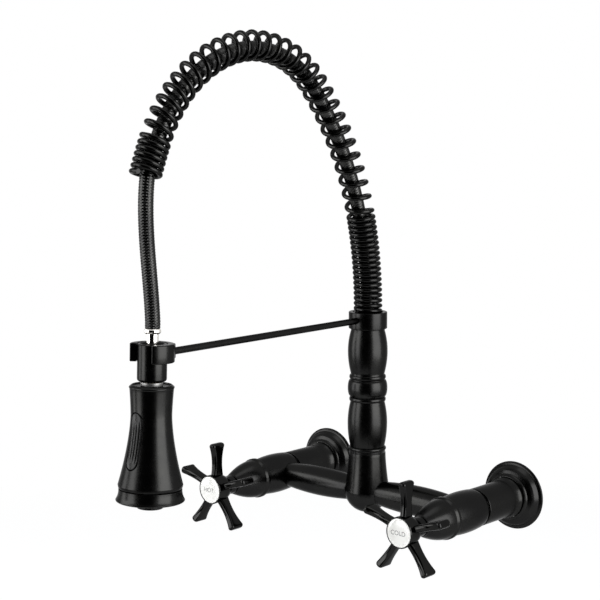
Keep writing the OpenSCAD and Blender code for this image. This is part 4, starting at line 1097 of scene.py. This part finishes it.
# Light added to what the camera sees of the floor, and where its shadow fades to plain white
FLOOR_LIFT = 0.45
FADE_START, FADE_END = 0.7, 1.8
SOFTBOX_DISTANCE = 1.8
SOFTBOX_FOOT = -0.36
CARD_FOOT = FLOOR_Z + 0.01


def seen_as(tree, plain, white, output):
    """Shows one shader to camera, glossy and transmission rays, and another to the rest."""
    path = tree.nodes.new("ShaderNodeLightPath")
    seen = path.outputs["Is Camera Ray"]
    for ray in ("Is Glossy Ray", "Is Transmission Ray"):
        larger = tree.nodes.new("ShaderNodeMath")
        larger.operation = "MAXIMUM"
        tree.links.new(seen, larger.inputs[0])
        tree.links.new(path.outputs[ray], larger.inputs[1])
        seen = larger.outputs["Value"]
    mix = tree.nodes.new("ShaderNodeMixShader")
    tree.links.new(seen, mix.inputs["Fac"])
    tree.links.new(plain, mix.inputs[1])
    tree.links.new(white, mix.inputs[2])
    tree.links.new(mix.outputs["Shader"], output.inputs["Surface"])


def make_floor():
    """A pale floor, white to camera, metal and glass: shaded near the object and plain further off."""
    mesh = bpy.data.meshes.new("floor")
    corners = [(-1, -1), (1, -1), (1, 1), (-1, 1)]
    mesh.from_pydata([(x * FLOOR_SIZE, y * FLOOR_SIZE, FLOOR_Z) for x, y in corners], [], [(0, 1, 2, 3)])
    floor = linked("floor", mesh)
    material, tree, shader = new_material("floor_white")
    set_inputs(shader, {"Base Color": (0.92, 0.92, 0.92, 1), "Roughness": 0.9})
    near = tree.nodes.new("ShaderNodeAddShader")
    far = tree.nodes.new("ShaderNodeEmission")
    lift = tree.nodes.new("ShaderNodeEmission")
    set_inputs(lift, {"Strength": FLOOR_LIFT})
    tree.links.new(shader.outputs["BSDF"], near.inputs[0])
    tree.links.new(lift.outputs["Emission"], near.inputs[1])
    place = tree.nodes.new("ShaderNodeTexCoord")
    length = tree.nodes.new("ShaderNodeVectorMath")
    length.operation = "LENGTH"
    tree.links.new(place.outputs["Object"], length.inputs[0])
    fade = tree.nodes.new("ShaderNodeMapRange")
    set_inputs(fade, {"From Min": FADE_START, "From Max": FADE_END})
    tree.links.new(length.outputs["Value"], fade.inputs["Value"])
    white = tree.nodes.new("ShaderNodeMixShader")
    tree.links.new(fade.outputs["Result"], white.inputs["Fac"])
    tree.links.new(near.outputs["Shader"], white.inputs[1])
    tree.links.new(far.outputs["Emission"], white.inputs[2])
    seen_as(tree, shader.outputs["BSDF"], white.outputs["Shader"], tree.nodes["Material Output"])
    mesh.materials.append(material)


def make_light(name, at, aim, size, power, glossy=True, diffuse=True):
    lamp = bpy.data.lights.new(name, "AREA")
    lamp.shape = "RECTANGLE"
    lamp.size, lamp.size_y = size
    lamp.energy = power
    light = linked(name, lamp)
    light.location = at
    light.rotation_mode = "QUATERNION"
    light.rotation_quaternion = (Vector(aim) - Vector(at)).to_track_quat("-Z", "Y")
    light.visible_glossy, light.visible_diffuse = glossy, diffuse


def round_centre(azimuth, distance, height):
    """A place round the object; azimuth in radians, 0 in front and growing to the right."""
    return (CENTRE[0] + distance * math.sin(azimuth), CENTRE[1] - distance * math.cos(azimuth), height)


def make_softbox(name, azimuth, size, power):
    """A wide softbox that shows only as the broad highlight in glossy surfaces."""
    at = round_centre(math.radians(azimuth), SOFTBOX_DISTANCE, SOFTBOX_FOOT + size[1] / 2)
    make_light(name, at, (CENTRE[0], CENTRE[1], at[2]), size, power, diffuse=False)


def make_flag(name, start, end, course):
    """A bent black card that shows only in glossy surfaces; its course is rows of (distance, height)."""
    columns = 8
    angles = [math.radians(start + (end - start) * k / columns) for k in range(columns + 1)]
    verts = [round_centre(a, distance, height) for distance, height in course for a in angles]
    faces = []
    for row in range(len(course) - 1):
        for k in range(columns):
            a = row * (columns + 1) + k
            faces.append((a, a + 1, a + columns + 2, a + columns + 1))
    mesh = bpy.data.meshes.new(name)
    mesh.from_pydata(verts, [], faces)
    card = linked(name, mesh)
    material, _, shader = new_material(name)
    set_inputs(shader, {"Base Color": (0.002, 0.002, 0.002, 1), "Roughness": 1.0,
                        "Specular IOR Level": 0.0})
    mesh.materials.append(material)
    card.visible_camera = card.visible_diffuse = card.visible_shadow = False


def make_world():
    """White where the camera, metal or glass sees it, and a softer grey for the light it sheds."""
    world = bpy.data.worlds.new("studio")
    bpy.context.scene.world = world
    world.use_nodes = True
    tree = world.node_tree
    soft = tree.nodes["Background"]
    set_inputs(soft, {"Color": (0.75, 0.76, 0.78, 1), "Strength": 0.5})
    white = tree.nodes.new("ShaderNodeBackground")
    set_inputs(white, {"Color": (1, 1, 1, 1)})
    seen_as(tree, soft.outputs["Background"], white.outputs["Background"], tree.nodes["World Output"])


make_floor()
make_light("key", (-0.75, -1.81, 0.40), LAMP_AIM, (0.80, 1.5), 21, glossy=False)
make_light("fill", (1.70, -0.23, 0.40), LAMP_AIM, (0.80, 1.5), 26, glossy=False)
make_light("top", (0.1, 0.1, 1.9), CENTRE, (1.0, 1.0), 6)
make_softbox("left_softbox", -38, (1.8, 1.6), 55)
make_softbox("right_softbox", 97, (1.6, 1.6), 60)
make_flag("front_flag", -8, 66, [(0.8, CARD_FOOT), (1.6, -0.30), (2.1, 0.10), (2.1, 2.6)])
make_flag("side_flag", -47, -36, [(1.0, CARD_FOOT), (1.7, -0.30), (1.7, 0.5)])
make_world()
bpy.context.scene.view_settings.view_transform = "Standard"
